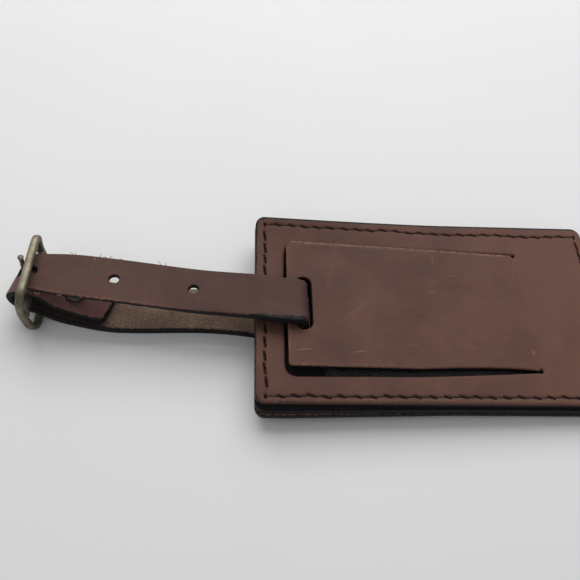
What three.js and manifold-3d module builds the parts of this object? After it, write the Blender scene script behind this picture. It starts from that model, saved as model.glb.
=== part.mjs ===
// Leather luggage tag: a stitched body that holds an address card behind a clear window and a
// cut flap, and a buckled strap that is threaded through a slot at the body's left end.
// Units are millimetres, +Z is up, and the tag lies on the plane z = 0.
// The strap lies along X, with the buckle at -X and the body at +X.
import * as THREE from 'three';
import { mergeVertices } from 'three/addons/utils/BufferGeometryUtils.js';
import Module from 'manifold-3d';

const wasm = await Module();
wasm.setup();

// ---- Driving dimensions ----
const BODY_LENGTH = 115;
const BODY_WIDTH = 70;
const BODY_CORNER = 3.2;
const GAP = 0.3;

const PANEL_THICKNESS = 2.2;
const FILLER_THICKNESS = 1.6;
const FILM_THICKNESS = 0.3;
const BODY_TILT = THREE.MathUtils.degToRad(1.8);

const THREAD_INSET = 2.7;
const THREAD_WIDTH = 0.8;
const THREAD_HEIGHT = 0.6;

const CARD_LENGTH = 82;
const CARD_WIDTH = 41;
const CARD_THICKNESS = 0.76;
const POCKET_START = 22;
const POCKET_LENGTH = 86;
const POCKET_WIDTH = 43;
const FILM_START = 21;
const FILM_INSET = 1.4;

const HINGE_X = 88.4;
const FLAP_LENGTH = 78.1;
const FLAP_RISE = THREE.MathUtils.degToRad(1.84);
const STOP_HOLE_RADIUS = 0.75;

const STRAP_WIDTH = 15.9;
const STRAP_THICKNESS = 2.7;
const STRAP_RISER_X = 15.25;
const SLOT_LEFT = 12.4;
const SLOT_RIGHT = 17.65;
const SLOT_FAR = 9.6;
const SLOT_NEAR = -10.3;

const HOLE_RADIUS = 1.6;
const HOLE_PITCH = 25.1;
const FIRST_HOLE_X = -19.7;
const HOLE_COUNT = 3;
const STRAP_END_X = -72.4;
const TAPER_START_X = -52;
const TAPER_END_SCALE = 0.8;

const BUCKLE_X = -72.2;
const BUCKLE_Y = 9;
const BUCKLE_YAW = THREE.MathUtils.degToRad(-2.5);
const BUCKLE_LEAN = THREE.MathUtils.degToRad(-2.6);
const BUCKLE_WIDTH = 26;
const BUCKLE_CORNER = 4;
const BUCKLE_ARCH = 1.5;
const BAR_RADIUS = 1.25;
const LOWER_BAR_DROP = 8.35;
const UPPER_BAR_RISE = 9.65;
const CENTRE_BAR_RADIUS = 1.05;
const BUCKLE_CLEARANCE = 0.01;
const BUCKLE_Z = BAR_RADIUS + LOWER_BAR_DROP * Math.cos(BUCKLE_LEAN) + BUCKLE_CLEARANCE;

const PRONG_OFFSET = 2.2;
const PRONG_RADIUS = 0.8;
const PRONG_EYE_INNER = 1.3;
const PRONG_EYE_OUTER = 1.95;
const PRONG_EYE_WIDTH = 2.4;
const PRONG_SLOT_WIDTH = 3.8;
const PRONG_SLOT_START_X = -77.3;
const PRONG_SLOT_END_X = -69;
const PRONG_SLOT_BOTTOM = 8.6;

const FOLD_X = -73;
const FOLD_RADIUS = 4.15;
const FOLD_Z = 8.45;
const TAB_GAP = 1.5;
const TAB_END_X = -45.6;
const RIVET_X = -58.6;
const RIVET_CAP_RADIUS = 3.5;
const RIVET_BASE_RADIUS = 3.4;
const RIVET_BASE_THICKNESS = 0.6;
const RIVET_POST_RADIUS = 1.2;

// ---- Solids: joining and cutting ----
function toSolid(geometry) {
  const bare = geometry.clone();
  bare.deleteAttribute('normal');
  bare.deleteAttribute('uv');
  const merged = mergeVertices(bare, 1e-4);
  const vertProperties = new Float32Array(merged.attributes.position.array);
  const triVerts = new Uint32Array(merged.index.array);
  return new wasm.Manifold(new wasm.Mesh({ numProp: 3, vertProperties, triVerts }));
}

function toGeometry(solid) {
  const mesh = solid.getMesh();
  const geometry = new THREE.BufferGeometry();
  geometry.setAttribute('position', new THREE.BufferAttribute(mesh.vertProperties, 3));
  geometry.setIndex(new THREE.BufferAttribute(mesh.triVerts, 1));
  geometry.computeVertexNormals();
  return geometry;
}

function cut(geometry, ...tools) {
  return toGeometry(tools.reduce((solid, tool) => solid.subtract(toSolid(tool)), toSolid(geometry)));
}

function join(...geometries) {
  return toGeometry(geometries.map(toSolid).reduce((solid, other) => solid.add(other)));
}

// ---- Outlines ----
function roundedOutline(Outline, left, right, near, far, radius) {
  const outline = new Outline();
  outline.moveTo(left + radius, near);
  outline.lineTo(right - radius, near);
  outline.absarc(right - radius, near + radius, radius, -Math.PI / 2, 0);
  outline.lineTo(right, far - radius);
  outline.absarc(right - radius, far - radius, radius, 0, Math.PI / 2);
  outline.lineTo(left + radius, far);
  outline.absarc(left + radius, far - radius, radius, Math.PI / 2, Math.PI);
  outline.lineTo(left, near + radius);
  outline.absarc(left + radius, near + radius, radius, Math.PI, Math.PI * 1.5);
  outline.closePath();
  return outline;
}

function bodyOutline(Outline, inset) {
  const half = BODY_WIDTH / 2 - inset;
  const radius = Math.max(BODY_CORNER - inset, 0.5);
  return roundedOutline(Outline, inset, BODY_LENGTH - inset, -half, half, radius);
}

function strapSlot(shiftX = 0) {
  const radius = (SLOT_RIGHT - SLOT_LEFT) / 2 - 0.01;
  return roundedOutline(THREE.Path, SLOT_LEFT + shiftX, SLOT_RIGHT + shiftX, SLOT_NEAR, SLOT_FAR, radius);
}

// A flat sheet of one outline between two heights.
function sheet(shape, bottom, top) {
  const settings = { depth: top - bottom, bevelEnabled: false, curveSegments: 6 };
  return new THREE.ExtrudeGeometry(shape, settings).translate(0, 0, bottom);
}

function cylinder(radius, x, y, bottom, top, segments = 20) {
  const geometry = new THREE.CylinderGeometry(radius, radius, top - bottom, segments);
  return geometry.rotateX(Math.PI / 2).translate(x, y, (top + bottom) / 2);
}

// ---- The strap's bands: a side profile of even thickness, laid along a line in plan ----
const slotY = -1.4;
const lowerPlan = plan([
  [-90, 14.6], [-79, 11.7], [-70, 9.4], [-60, 6.9], [-48, 4.2], [-38, 3.6], [-18, 3.6], [-3, 2.3],
  [6, 0.2], [12, slotY], [STRAP_RISER_X, slotY], [20, slotY],
]);
const upperPlan = plan([
  [-80, 9.8], [-72, 9], [-66, 8.4], [-44, 6], [-21.4, 3], [-0.6, 0.9], [6, -0.5],
  [12, slotY], [STRAP_RISER_X, slotY], [20, slotY],
]);

function plan(corners) {
  const curve = new THREE.SplineCurve(corners.map(([x, y]) => new THREE.Vector2(x, y)));
  return curve.getPoints(400);
}

function planAt(points, x) {
  const next = points.findIndex((point) => point.x > x);
  const a = points[next - 1];
  const b = points[next];
  const slope = (b.y - a.y) / (b.x - a.x);
  return { y: a.y + (x - a.x) * slope, angle: Math.atan(slope) };
}

function layAlong(geometry, points, widthAt = () => 1) {
  const place = geometry.attributes.position;
  for (let i = 0; i < place.count; i += 1) {
    const x = place.getX(i);
    const across = place.getY(i) * widthAt(x);
    const { y, angle } = planAt(points, x);
    place.setX(i, x - across * Math.sin(angle));
    place.setY(i, y + across * Math.cos(angle));
  }
  geometry.computeVertexNormals();
  return geometry;
}

function band(centreLine, width) {
  const half = STRAP_THICKNESS / 2;
  const left = [];
  const right = [];
  centreLine.forEach((point, i) => {
    const before = centreLine[Math.max(i - 1, 0)];
    const after = centreLine[Math.min(i + 1, centreLine.length - 1)];
    const along = after.clone().sub(before).normalize();
    const normal = new THREE.Vector2(-along.y, along.x).multiplyScalar(half);
    left.push(point.clone().add(normal));
    right.push(point.clone().sub(normal));
  });
  const shape = new THREE.Shape([...right, ...left.reverse()]);
  const settings = { depth: width, bevelEnabled: false };
  return new THREE.ExtrudeGeometry(shape, settings).rotateX(Math.PI / 2).translate(0, width / 2, 0);
}

function arc(x, z, radius, from, to, steps) {
  const points = [];
  for (let i = 0; i <= steps; i += 1) {
    const angle = THREE.MathUtils.degToRad(from + (to - from) * (i / steps));
    points.push(new THREE.Vector2(x + radius * Math.cos(angle), z + radius * Math.sin(angle)));
  }
  return points;
}

function straight(x0, z0, x1, z1, steps) {
  const a = new THREE.Vector2(x0, z0);
  const b = new THREE.Vector2(x1, z1);
  return Array.from({ length: steps }, (_, i) => a.clone().lerp(b, (i + 1) / (steps + 1)));
}

function spline(corners, steps) {
  const curve = new THREE.SplineCurve(corners.map(([x, z]) => new THREE.Vector2(x, z)));
  return curve.getSpacedPoints(steps);
}

// Lower part: riser in the body's slot, run along the table, fold round the buckle, riveted tab.
function strapLower() {
  const table = STRAP_THICKNESS / 2;
  const bend = 1.8;
  const lowerFold = FOLD_Z - FOLD_RADIUS;
  const upperFold = FOLD_Z + FOLD_RADIUS;
  const tab = table + STRAP_THICKNESS + TAB_GAP;
  const centreLine = [
    new THREE.Vector2(STRAP_RISER_X, 6.4),
    new THREE.Vector2(STRAP_RISER_X, 4.8),
    ...arc(STRAP_RISER_X - bend, table + bend, bend, 0, -90, 6),
    ...straight(STRAP_RISER_X - bend, table, -55, table, 22),
    ...spline([[-55, table], [-60.5, 1.5], [-64, 2.25], [-66.3, 3.35], [-68.2, lowerFold - 0.1],
      [-71.5, lowerFold]], 12),
    ...arc(FOLD_X, FOLD_Z, FOLD_RADIUS, -90, -270, 14),
    ...spline([[-71, upperFold], [-69, 12.4], [-67.2, 11.3], [-65.5, 9.7], [-64.2, 8], [-63.1, 6.5],
      [-62.2, tab + 0.1], [-61, tab], [-55, tab], [-50, 4.8], [TAB_END_X, 4.5]], 36),
  ];
  const leather = layAlong(band(centreLine, STRAP_WIDTH), lowerPlan);
  const slotLength = PRONG_SLOT_END_X - PRONG_SLOT_START_X;
  const slotHeight = 10;
  const prongSlot = new THREE.BoxGeometry(slotLength, PRONG_SLOT_WIDTH, slotHeight).translate(
    PRONG_SLOT_END_X - slotLength / 2, BUCKLE_Y + PRONG_OFFSET, PRONG_SLOT_BOTTOM + slotHeight / 2);
  const rivetY = planAt(lowerPlan, RIVET_X).y;
  const rivetHole = cylinder(RIVET_POST_RADIUS + GAP, RIVET_X, rivetY, -1, 9);
  const rivetRecess = cylinder(RIVET_BASE_RADIUS + GAP, RIVET_X, rivetY, -1, RIVET_BASE_THICKNESS + 0.4);
  return cut(leather, prongSlot, rivetHole, rivetRecess);
}

// Upper part: riser in the slot, bend over the flap, and the punched run that ends in the buckle.
function strapUpper() {
  const bend = 2.4;
  const bendZ = 12.35;
  const top = bendZ + bend;
  const centreLine = [
    new THREE.Vector2(STRAP_RISER_X, 6.7),
    new THREE.Vector2(STRAP_RISER_X, 9.5),
    ...arc(STRAP_RISER_X - bend, bendZ, bend, 0, 90, 7),
    ...spline([[11.5, top], [8, 14.6], [0, 14.05], [-10, 13.8], [-20, 13.85], [-45, 14.8], [-60, 15.5],
      [STRAP_END_X, 15.6]], 40),
  ];
  const widthAt = (x) => {
    const taper = THREE.MathUtils.clamp((TAPER_START_X - x) / (TAPER_START_X - STRAP_END_X), 0, 1);
    return 1 - (1 - TAPER_END_SCALE) * taper * taper;
  };
  const leather = layAlong(band(centreLine, STRAP_WIDTH), upperPlan, widthAt);
  const holes = Array.from({ length: HOLE_COUNT }, (_, i) => {
    const x = FIRST_HOLE_X - i * HOLE_PITCH;
    return cylinder(HOLE_RADIUS, x, planAt(upperPlan, x).y, 10, 20);
  });
  return cut(leather, ...holes);
}

// ---- The rivet that holds the folded tab ----
const rivetCapBottom = 2 * STRAP_THICKNESS + TAB_GAP + 2 * GAP;

function rivetBase() {
  const y = planAt(lowerPlan, RIVET_X).y;
  const bottom = 0.1;
  const disc = cylinder(RIVET_BASE_RADIUS, RIVET_X, y, bottom, bottom + RIVET_BASE_THICKNESS, 24);
  return join(disc, cylinder(RIVET_POST_RADIUS, RIVET_X, y, bottom + 0.3, rivetCapBottom - GAP));
}

function rivetCap() {
  const bottom = rivetCapBottom;
  const dome = 1.1;
  const rim = 0.5;
  const profile = [new THREE.Vector2(0, bottom), new THREE.Vector2(RIVET_CAP_RADIUS, bottom)];
  for (let i = 0; i <= 6; i += 1) {
    const angle = (i / 6) * (Math.PI / 2);
    profile.push(new THREE.Vector2(RIVET_CAP_RADIUS * Math.cos(angle), bottom + rim + dome * Math.sin(angle)));
  }
  profile[profile.length - 1].x = 0;
  const cap = new THREE.LatheGeometry(profile, 24).rotateX(Math.PI / 2);
  return cap.translate(RIVET_X, planAt(lowerPlan, RIVET_X).y, 0);
}

// ---- Buckle, drawn about its centre bar: Y along the bar, Z up ----
function rod(points, radius, sides = 10) {
  const curve = new THREE.CatmullRomCurve3(points.map(([x, y, z]) => new THREE.Vector3(x, y, z)));
  const section = new THREE.Shape(
    Array.from({ length: sides }, (_, i) => {
      const angle = (i / sides) * Math.PI * 2;
      return new THREE.Vector2(radius * Math.cos(angle), radius * Math.sin(angle));
    }),
  );
  return new THREE.ExtrudeGeometry(section, { steps: points.length * 2, bevelEnabled: false, extrudePath: curve });
}

function halfFrame(side) {
  const reach = BUCKLE_WIDTH / 2;
  const points = [];
  const overlap = -0.6;
  const archAt = (z) => BUCKLE_ARCH * (z / UPPER_BAR_RISE) ** 2;
  points.push([0, side * overlap, UPPER_BAR_RISE], [0, side * (reach - BUCKLE_CORNER) / 2, UPPER_BAR_RISE]);
  arc(reach - BUCKLE_CORNER, UPPER_BAR_RISE - BUCKLE_CORNER, BUCKLE_CORNER, 90, 0, 5)
    .forEach((point) => points.push([0, side * point.x, point.y]));
  points.push([0, side * reach, (UPPER_BAR_RISE - LOWER_BAR_DROP) / 2]);
  arc(reach - BUCKLE_CORNER, BUCKLE_CORNER - LOWER_BAR_DROP, BUCKLE_CORNER, 0, -90, 5)
    .forEach((point) => points.push([0, side * point.x, point.y]));
  points.push([0, side * (reach - BUCKLE_CORNER) / 2, -LOWER_BAR_DROP], [0, side * overlap, -LOWER_BAR_DROP]);
  return rod(points.map(([, y, z]) => [archAt(z), y, z]), BAR_RADIUS);
}

function buckleFrame() {
  const bar = new THREE.CylinderGeometry(CENTRE_BAR_RADIUS, CENTRE_BAR_RADIUS, BUCKLE_WIDTH, 14);
  const bosses = [-1, 1].map((side) => {
    const boss = new THREE.SphereGeometry(1.6, 12, 8);
    return boss.translate(0.5, side * (BUCKLE_WIDTH / 2 - 0.9), 0);
  });
  return join(halfFrame(1), halfFrame(-1), bar, ...bosses);
}

function buckleProng() {
  const profile = [
    new THREE.Vector2(PRONG_EYE_INNER, -PRONG_EYE_WIDTH / 2),
    new THREE.Vector2(PRONG_EYE_OUTER, -PRONG_EYE_WIDTH / 2),
    new THREE.Vector2(PRONG_EYE_OUTER, PRONG_EYE_WIDTH / 2),
    new THREE.Vector2(PRONG_EYE_INNER, PRONG_EYE_WIDTH / 2),
    new THREE.Vector2(PRONG_EYE_INNER, -PRONG_EYE_WIDTH / 2),
  ];
  const eye = new THREE.LatheGeometry(profile, 20);
  const shaft = rod([[-2.1, 0, 0.2], [-2.05, 0, 3], [-1.7, 0, 6], [-1.3, 0, 9], [-1.2, 0, 10.2]], PRONG_RADIUS);
  const tip = new THREE.SphereGeometry(PRONG_RADIUS, 10, 8).translate(-1.2, 0, 10.2);
  return join(eye, shaft, tip).translate(0, PRONG_OFFSET, 0);
}

// ---- Body panels, drawn flat with the left edge at x = 0 and the underside at z = 0 ----
const fillerBottom = PANEL_THICKNESS + GAP;
const filmBottom = fillerBottom + FILLER_THICKNESS + GAP;
const frontBottom = filmBottom + FILM_THICKNESS + GAP;
const frontTop = frontBottom + PANEL_THICKNESS;

function threadGroove(bottom, top) {
  const half = THREAD_WIDTH / 2 + GAP;
  const ring = bodyOutline(THREE.Shape, THREAD_INSET - half);
  ring.holes.push(bodyOutline(THREE.Path, THREAD_INSET + half));
  return sheet(ring, bottom, top);
}

function threadRing(bottom) {
  const ring = bodyOutline(THREE.Shape, THREAD_INSET - THREAD_WIDTH / 2);
  ring.holes.push(bodyOutline(THREE.Path, THREAD_INSET + THREAD_WIDTH / 2));
  return sheet(ring, bottom, bottom + THREAD_HEIGHT);
}

const grooveDepth = THREAD_HEIGHT + GAP;

function backPanel() {
  const shape = bodyOutline(THREE.Shape, 0);
  shape.holes.push(strapSlot());
  return cut(sheet(shape, 0, PANEL_THICKNESS), threadGroove(-1, grooveDepth));
}

function fillerFrame() {
  const shape = bodyOutline(THREE.Shape, 0);
  shape.holes.push(strapSlot());
  const half = POCKET_WIDTH / 2;
  shape.holes.push(roundedOutline(THREE.Path, POCKET_START, POCKET_START + POCKET_LENGTH, -half, half, 1));
  return sheet(shape, fillerBottom, fillerBottom + FILLER_THICKNESS);
}

function clearWindow() {
  const half = BODY_WIDTH / 2 - FILM_INSET;
  const shape = roundedOutline(THREE.Shape, FILM_START, BODY_LENGTH - FILM_INSET, -half, half, 1.5);
  return sheet(shape, filmBottom, filmBottom + FILM_THICKNESS);
}

function idCard() {
  const middle = POCKET_START + POCKET_LENGTH / 2;
  const half = CARD_WIDTH / 2;
  const shape = roundedOutline(THREE.Shape, middle - CARD_LENGTH / 2, middle + CARD_LENGTH / 2, -half, half, 3.2);
  return sheet(shape, fillerBottom, fillerBottom + CARD_THICKNESS);
}

// The front panel's opening: the flap's outline plus the width of the cut.
function frontPanel() {
  const shape = bodyOutline(THREE.Shape, 0);
  const opening = new THREE.Path();
  const right = HINGE_X + GAP;
  opening.moveTo(right, 22.4);
  opening.lineTo(13.3, 25.3);
  opening.quadraticCurveTo(8.8, 25.4, 8.8, 21);
  opening.lineTo(8.8, -21.6);
  opening.quadraticCurveTo(8.9, -25.4, 12.8, -25.5);
  opening.lineTo(50, -25.3);
  opening.quadraticCurveTo(72, -24.6, right, -23.4);
  opening.closePath();
  shape.holes.push(opening);
  const stopHoles = [21.9, -23.1].map((y) => (
    cylinder(STOP_HOLE_RADIUS, HINGE_X, y, frontBottom - 1, frontTop + 1, 16)
  ));
  return cut(sheet(shape, frontBottom, frontTop), threadGroove(frontTop - grooveDepth, frontTop + 1), ...stopHoles);
}

// The flap is drawn about its hinge line, with its top face at z = 0.
function flap() {
  const shape = new THREE.Shape();
  shape.moveTo(0, -22.4);
  shape.quadraticCurveTo(-16, -23.5, -38, -23.8);
  shape.lineTo(-FLAP_LENGTH + 1.4, -24);
  shape.quadraticCurveTo(-FLAP_LENGTH, -24, -FLAP_LENGTH, -22.6);
  shape.lineTo(-FLAP_LENGTH, 20.8);
  shape.quadraticCurveTo(-FLAP_LENGTH, 24.1, -FLAP_LENGTH + 3.2, 24);
  shape.lineTo(0, 21.3);
  shape.closePath();
  shape.holes.push(strapSlot(-HINGE_X));
  const stopHoles = [21.9, -23.1].map((y) => (
    cylinder(STOP_HOLE_RADIUS + GAP, 0, y, -PANEL_THICKNESS - 1, 1, 16)
  ));
  return cut(sheet(shape, -PANEL_THICKNESS, 0), ...stopHoles);
}

// ---- Materials ----
function leather(color, roughness = 0.6) {
  return new THREE.MeshStandardMaterial({ color, roughness, metalness: 0 });
}

function brass(color) {
  return new THREE.MeshStandardMaterial({ color, roughness: 0.4, metalness: 0.9 });
}

function part(parent, name, geometry, material) {
  const mesh = new THREE.Mesh(geometry, material);
  mesh.name = name;
  parent.add(mesh);
}

// ---- Assembly ----
const tag = new THREE.Group();

const body = new THREE.Group();
body.rotation.y = BODY_TILT;
body.position.z = BODY_LENGTH * Math.sin(BODY_TILT);
tag.add(body);
part(body, 'back_panel', backPanel(), leather(0x4a2a20));
part(body, 'filler_frame', fillerFrame(), leather(0x3a2119));
part(body, 'id_card', idCard(), new THREE.MeshStandardMaterial({ color: 0xe8e2d2, roughness: 0.7, metalness: 0 }));
part(body, 'clear_window', clearWindow(), new THREE.MeshStandardMaterial({
  color: 0xdfe6ea, roughness: 0.1, metalness: 0, transparent: true, opacity: 0.35,
}));
part(body, 'front_panel', frontPanel(), leather(0x5a3226));
part(body, 'front_thread', threadRing(frontTop - THREAD_HEIGHT), leather(0x1c1210, 0.8));
part(body, 'back_thread', threadRing(0), leather(0x1c1210, 0.8));

const flapGroup = new THREE.Group();
flapGroup.position.set(HINGE_X, 0, frontTop);
flapGroup.rotation.y = FLAP_RISE;
body.add(flapGroup);
part(flapGroup, 'flap', flap(), leather(0x5f362a));

part(tag, 'strap_lower', strapLower(), leather(0x4e2a20));
part(tag, 'strap_upper', strapUpper(), leather(0x54302a));
part(tag, 'rivet_base', rivetBase(), brass(0x6a5a3a));
part(tag, 'rivet_cap', rivetCap(), brass(0x2c2622));

const buckle = new THREE.Group();
buckle.position.set(BUCKLE_X, BUCKLE_Y, BUCKLE_Z);
buckle.rotation.set(0, BUCKLE_LEAN, BUCKLE_YAW, 'ZYX');
tag.add(buckle);
part(buckle, 'buckle_frame', buckleFrame(), brass(0x8a7a4c));
part(buckle, 'buckle_prong', buckleProng(), brass(0x8a7a4c));

// The origin is the middle of the tag's footprint.
tag.updateMatrixWorld(true);
const bounds = new THREE.Box3().setFromObject(tag, true);
tag.position.set(-(bounds.min.x + bounds.max.x) / 2, -(bounds.min.y + bounds.max.y) / 2, -bounds.min.z);
tag.updateMatrixWorld(true);

export default tag;
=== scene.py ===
"""Leather luggage tag on a pale table: stitched body with a slit flap, and a buckled strap.

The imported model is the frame. Every leather part is rebuilt as a sheet that is cut flat, with rounded or
raw edges, and then laid where the part lies. Lengths are millimetres, measured from the body's left edge,
its middle line and the table, and they become metres when a mesh is made.
"""

import math

import bpy
import numpy as np
from mathutils import Euler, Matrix, Vector, geometry, noise


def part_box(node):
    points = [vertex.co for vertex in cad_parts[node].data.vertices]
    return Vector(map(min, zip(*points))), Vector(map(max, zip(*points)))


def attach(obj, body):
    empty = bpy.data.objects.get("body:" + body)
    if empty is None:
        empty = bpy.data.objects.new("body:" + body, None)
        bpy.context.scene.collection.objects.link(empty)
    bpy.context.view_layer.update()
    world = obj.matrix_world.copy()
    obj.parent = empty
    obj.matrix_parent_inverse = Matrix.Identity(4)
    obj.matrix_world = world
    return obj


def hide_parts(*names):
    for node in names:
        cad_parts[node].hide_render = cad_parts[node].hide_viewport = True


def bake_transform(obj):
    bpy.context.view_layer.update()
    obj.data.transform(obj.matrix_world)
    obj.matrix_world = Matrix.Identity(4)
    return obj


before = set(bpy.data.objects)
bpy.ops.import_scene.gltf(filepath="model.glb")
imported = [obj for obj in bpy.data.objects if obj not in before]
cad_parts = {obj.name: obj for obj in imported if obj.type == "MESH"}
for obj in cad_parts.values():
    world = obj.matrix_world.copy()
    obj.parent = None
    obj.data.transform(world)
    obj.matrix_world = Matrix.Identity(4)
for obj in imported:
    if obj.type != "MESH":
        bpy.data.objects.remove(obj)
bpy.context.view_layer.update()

MM = 0.001

# ---- Driving dimensions in millimetres ----
# They are the CAD part's, but for a few edges that stand a little off it, as worn leather does.
BODY_LENGTH = 115.0
BODY_WIDTH = 70.0
BODY_CORNER = 3.2
BODY_TILT = math.radians(1.8)
BODY_LIFT = BODY_LENGTH * math.sin(BODY_TILT)
ORIGIN = Vector((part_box("back_panel")[0].x, 0.0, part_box("back_panel")[0].z)) / MM

# Heights of the layers above the body's underside.
BACK_TOP = 2.22
FILLER_BOTTOM, FILLER_TOP = 2.26, 4.36
CARD_BOTTOM, CARD_THICKNESS = 2.5, 0.76
FILM_BOTTOM, FILM_TOP = 4.4, 4.7
FRONT_BOTTOM, FRONT_TOP = 4.74, 7.2
FLAP_THICKNESS = 2.2

# The flap rises over FLAP_BEND, from its hinge line leftwards, and then runs straight.
HINGE_X = 88.4
FLAP_END_X = 9.7
FLAP_CORNER_X = FLAP_END_X + 3.2
FLAP_NEAR_Y = -23.2
FLAP_RISE = math.radians(1.84)
FLAP_BEND = 12.0
STOP_HOLES = ((HINGE_X, 21.9), (HINGE_X, -23.1))
STOP_HOLE_RADIUS = 0.62
# How far the body's far left corner curls up.
FAR_CURL = 2.7
# Left end, right end and half width.
POCKET = (22.0, 108.0, 21.5)
CARD = (24.0, 106.0, 20.5)
FILM = (21.0, 113.6, 33.6)
# Left, right, near and far sides.
SLOT = (12.4, 17.65, -10.3, 9.6)

STITCH_INSET = 2.7
STITCH_PITCH = 4.5
# Half of a stitch hole as (x, y), in the long rows and in the side rows.
SLIT = (0.95, -0.3)
SIDE_SLIT = (0.17, -1.5)
# The far row of stitches draws in towards the middle between these two places.
FAR_SEAM_XS = (5, 70)
FAR_SEAM_DROPS = (0.2, 1.5)
THREAD_RADIUS = 0.31

# The strap stands upright in the slot at (RISER_X, SLOT_Y). The plans are its runs' middle lines, (x, y).
STRAP_WIDTH = 15.9
STRAP_THICKNESS = 2.7
RISER_X = 15.25
SLOT_Y = -1.4
LOWER_PLAN = (
    (-90, 14.6), (-79, 11.7), (-70, 9.4), (-60, 6.9), (-48, 4.2), (-38, 3.6), (-18, 3.6), (-3, 2.3),
    (6, 0.2), (12, SLOT_Y), (RISER_X, SLOT_Y), (20, SLOT_Y),
)
UPPER_PLAN = (
    (-80, 9.8), (-72, 9), (-66, 8.4), (-44, 6), (-21.4, 3), (-0.6, 0.9), (6, -0.5),
    (12, SLOT_Y), (RISER_X, SLOT_Y), (20, SLOT_Y),
)
FOLD_X, FOLD_Z, FOLD_RADIUS = -72.5, 8.45, 4.15
# Shares of the thickness that are left at the fold and at the upper run's end.
FOLD_THINNING = 0.74
UPPER_THINNING = 0.62
UPPER_THICKNESS = 2.4
TAB_END_X = -45.6
RIVET_X = -58.6
HOLE_RADIUS = 1.55
HOLE_XS = (-19.7, -44.8, -70.6)
STRAP_END_X = -72.4
TAPER_START_X = -52.0
TAPER_END_SCALE = 0.8

# The middle of the buckle's centre bar, and the frame's shape about it.
BUCKLE = (-72.2, 9.0, 9.601)
BUCKLE_YAW = math.radians(-2.5)
BUCKLE_LEAN = math.radians(-2.6)
BUCKLE_HALF_WIDTH = 13.0
BUCKLE_TOP, BUCKLE_BOTTOM = 9.65, -8.35
BUCKLE_CORNER = 4.0
BUCKLE_ARCH = 1.5
PRONG_OFFSET = 2.2
PRONG_SLOT_HALF = 1.9
PRONG_SLOT_START_X = -76.9
PRONG_SLOT_END_X = -69.0

# Spacing of the points along the strap's cut edges.
EDGE_STEP = 0.45
# Shares of the edge rounding at which a sheet has a ring of points.
RING_SHARES = (0.08, 0.25, 0.5, 0.78, 1.05)
# Length of a strap's route over which a sharp bend is softened, in samples.
SOFT_SAMPLES = 19

CAMERA_PLACE = (0.92, -128.0, 202.48)
CAMERA_ANGLES = (34.896, -2.0505, -1.3977)
CAMERA_LENS = 44.69


# ---- Camera and light ----
def make_camera():
    data = bpy.data.cameras.new("camera")
    data.sensor_width = 36
    data.lens = CAMERA_LENS
    data.clip_start = 0.01
    camera = bpy.data.objects.new("camera", data)
    camera.location = (ORIGIN + Vector(CAMERA_PLACE)) * MM
    camera.rotation_euler = Euler([math.radians(a) for a in CAMERA_ANGLES], "XYZ")
    bpy.context.scene.collection.objects.link(camera)
    bpy.context.scene.camera = camera


def area_light(name, place, aim, size, power, colour):
    data = bpy.data.lights.new(name, "AREA")
    data.shape = "RECTANGLE"
    data.size, data.size_y = size
    data.energy = power
    data.color = colour
    light = bpy.data.objects.new(name, data)
    light.location = place
    light.rotation_euler = (Vector(aim) - Vector(place)).to_track_quat("-Z", "Y").to_euler()
    bpy.context.scene.collection.objects.link(light)


def make_lights():
    """A window beyond the tag, a weak light from the room, and a pale sky. Places are in metres."""
    area_light("window", place=(0.04, 0.48, 0.55), aim=(0, 0.03, 0), size=(1.0, 0.6), power=4.65,
               colour=(1.0, 0.995, 0.98))
    area_light("room", place=(-0.5, -0.4, 0.9), aim=(0, 0, 0), size=(1.0, 1.0), power=0.6,
               colour=(0.97, 0.985, 1.0))
    world = bpy.data.worlds.new("studio")
    world.use_nodes = True
    sky = world.node_tree.nodes["Background"].inputs
    sky["Color"].default_value = (0.93, 0.95, 1.0, 1)
    sky["Strength"].default_value = 0.385
    bpy.context.scene.world = world
    bpy.context.scene.view_settings.view_transform = "Standard"


# ---- Flat outlines: runs of points that leave out their last point ----
def line(a, b, step=0.5):
    a, b = np.array(a, float), np.array(b, float)
    count = max(1, round(float(np.linalg.norm(b - a)) / step))
    return a + (b - a) * np.arange(count)[:, None] / count


def bow(a, control, b, step=0.4):
    a, control, b = (np.array(p, float) for p in (a, control, b))
    reach = np.linalg.norm(control - a) + np.linalg.norm(b - control)
    t = np.arange(max(3, round(float(reach) / step)))[:, None]
    t = t / len(t)
    return a * (1 - t) ** 2 + 2 * control * t * (1 - t) + b * t**2


def arc(centre, radius, start, end, step=0.3):
    count = max(4, round(abs(math.radians(end - start)) * radius / step))
    angle = np.radians(start + (end - start) * np.arange(count) / count)
    return np.column_stack([centre[0] + radius * np.cos(angle), centre[1] + radius * np.sin(angle)])


def rounded_box(left, right, near, far, radius, step=0.5):
    return np.vstack([
        line((left + radius, near), (right - radius, near), step),
        arc((right - radius, near + radius), radius, -90, 0),
        line((right, near + radius), (right, far - radius), step),
        arc((right - radius, far - radius), radius, 0, 90),
        line((right - radius, far), (left + radius, far), step),
        arc((left + radius, far - radius), radius, 90, 180),
        line((left, far - radius), (left, near + radius), step),
        arc((left + radius, near + radius), radius, 180, 270),
    ])


def body_outline(left=0.0, near=0.0, splay=0.0):
    """The body's outline, with its left and near edges moved out, the near one further at its left end."""
    outline = rounded_box(-left, BODY_LENGTH, -BODY_WIDTH / 2 - near, BODY_WIDTH / 2, BODY_CORNER)
    lower = np.clip(-outline[:, 1] * 2 / BODY_WIDTH, 0, 1) ** 4
    outline[:, 1] -= splay * lower * np.clip((60 - outline[:, 0]) / 50, 0, 1)
    return outline


def slot_outline():
    left, right, near, far = SLOT
    return rounded_box(left, right, near, far, (right - left) / 2 - 0.01, 0.4)


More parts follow.
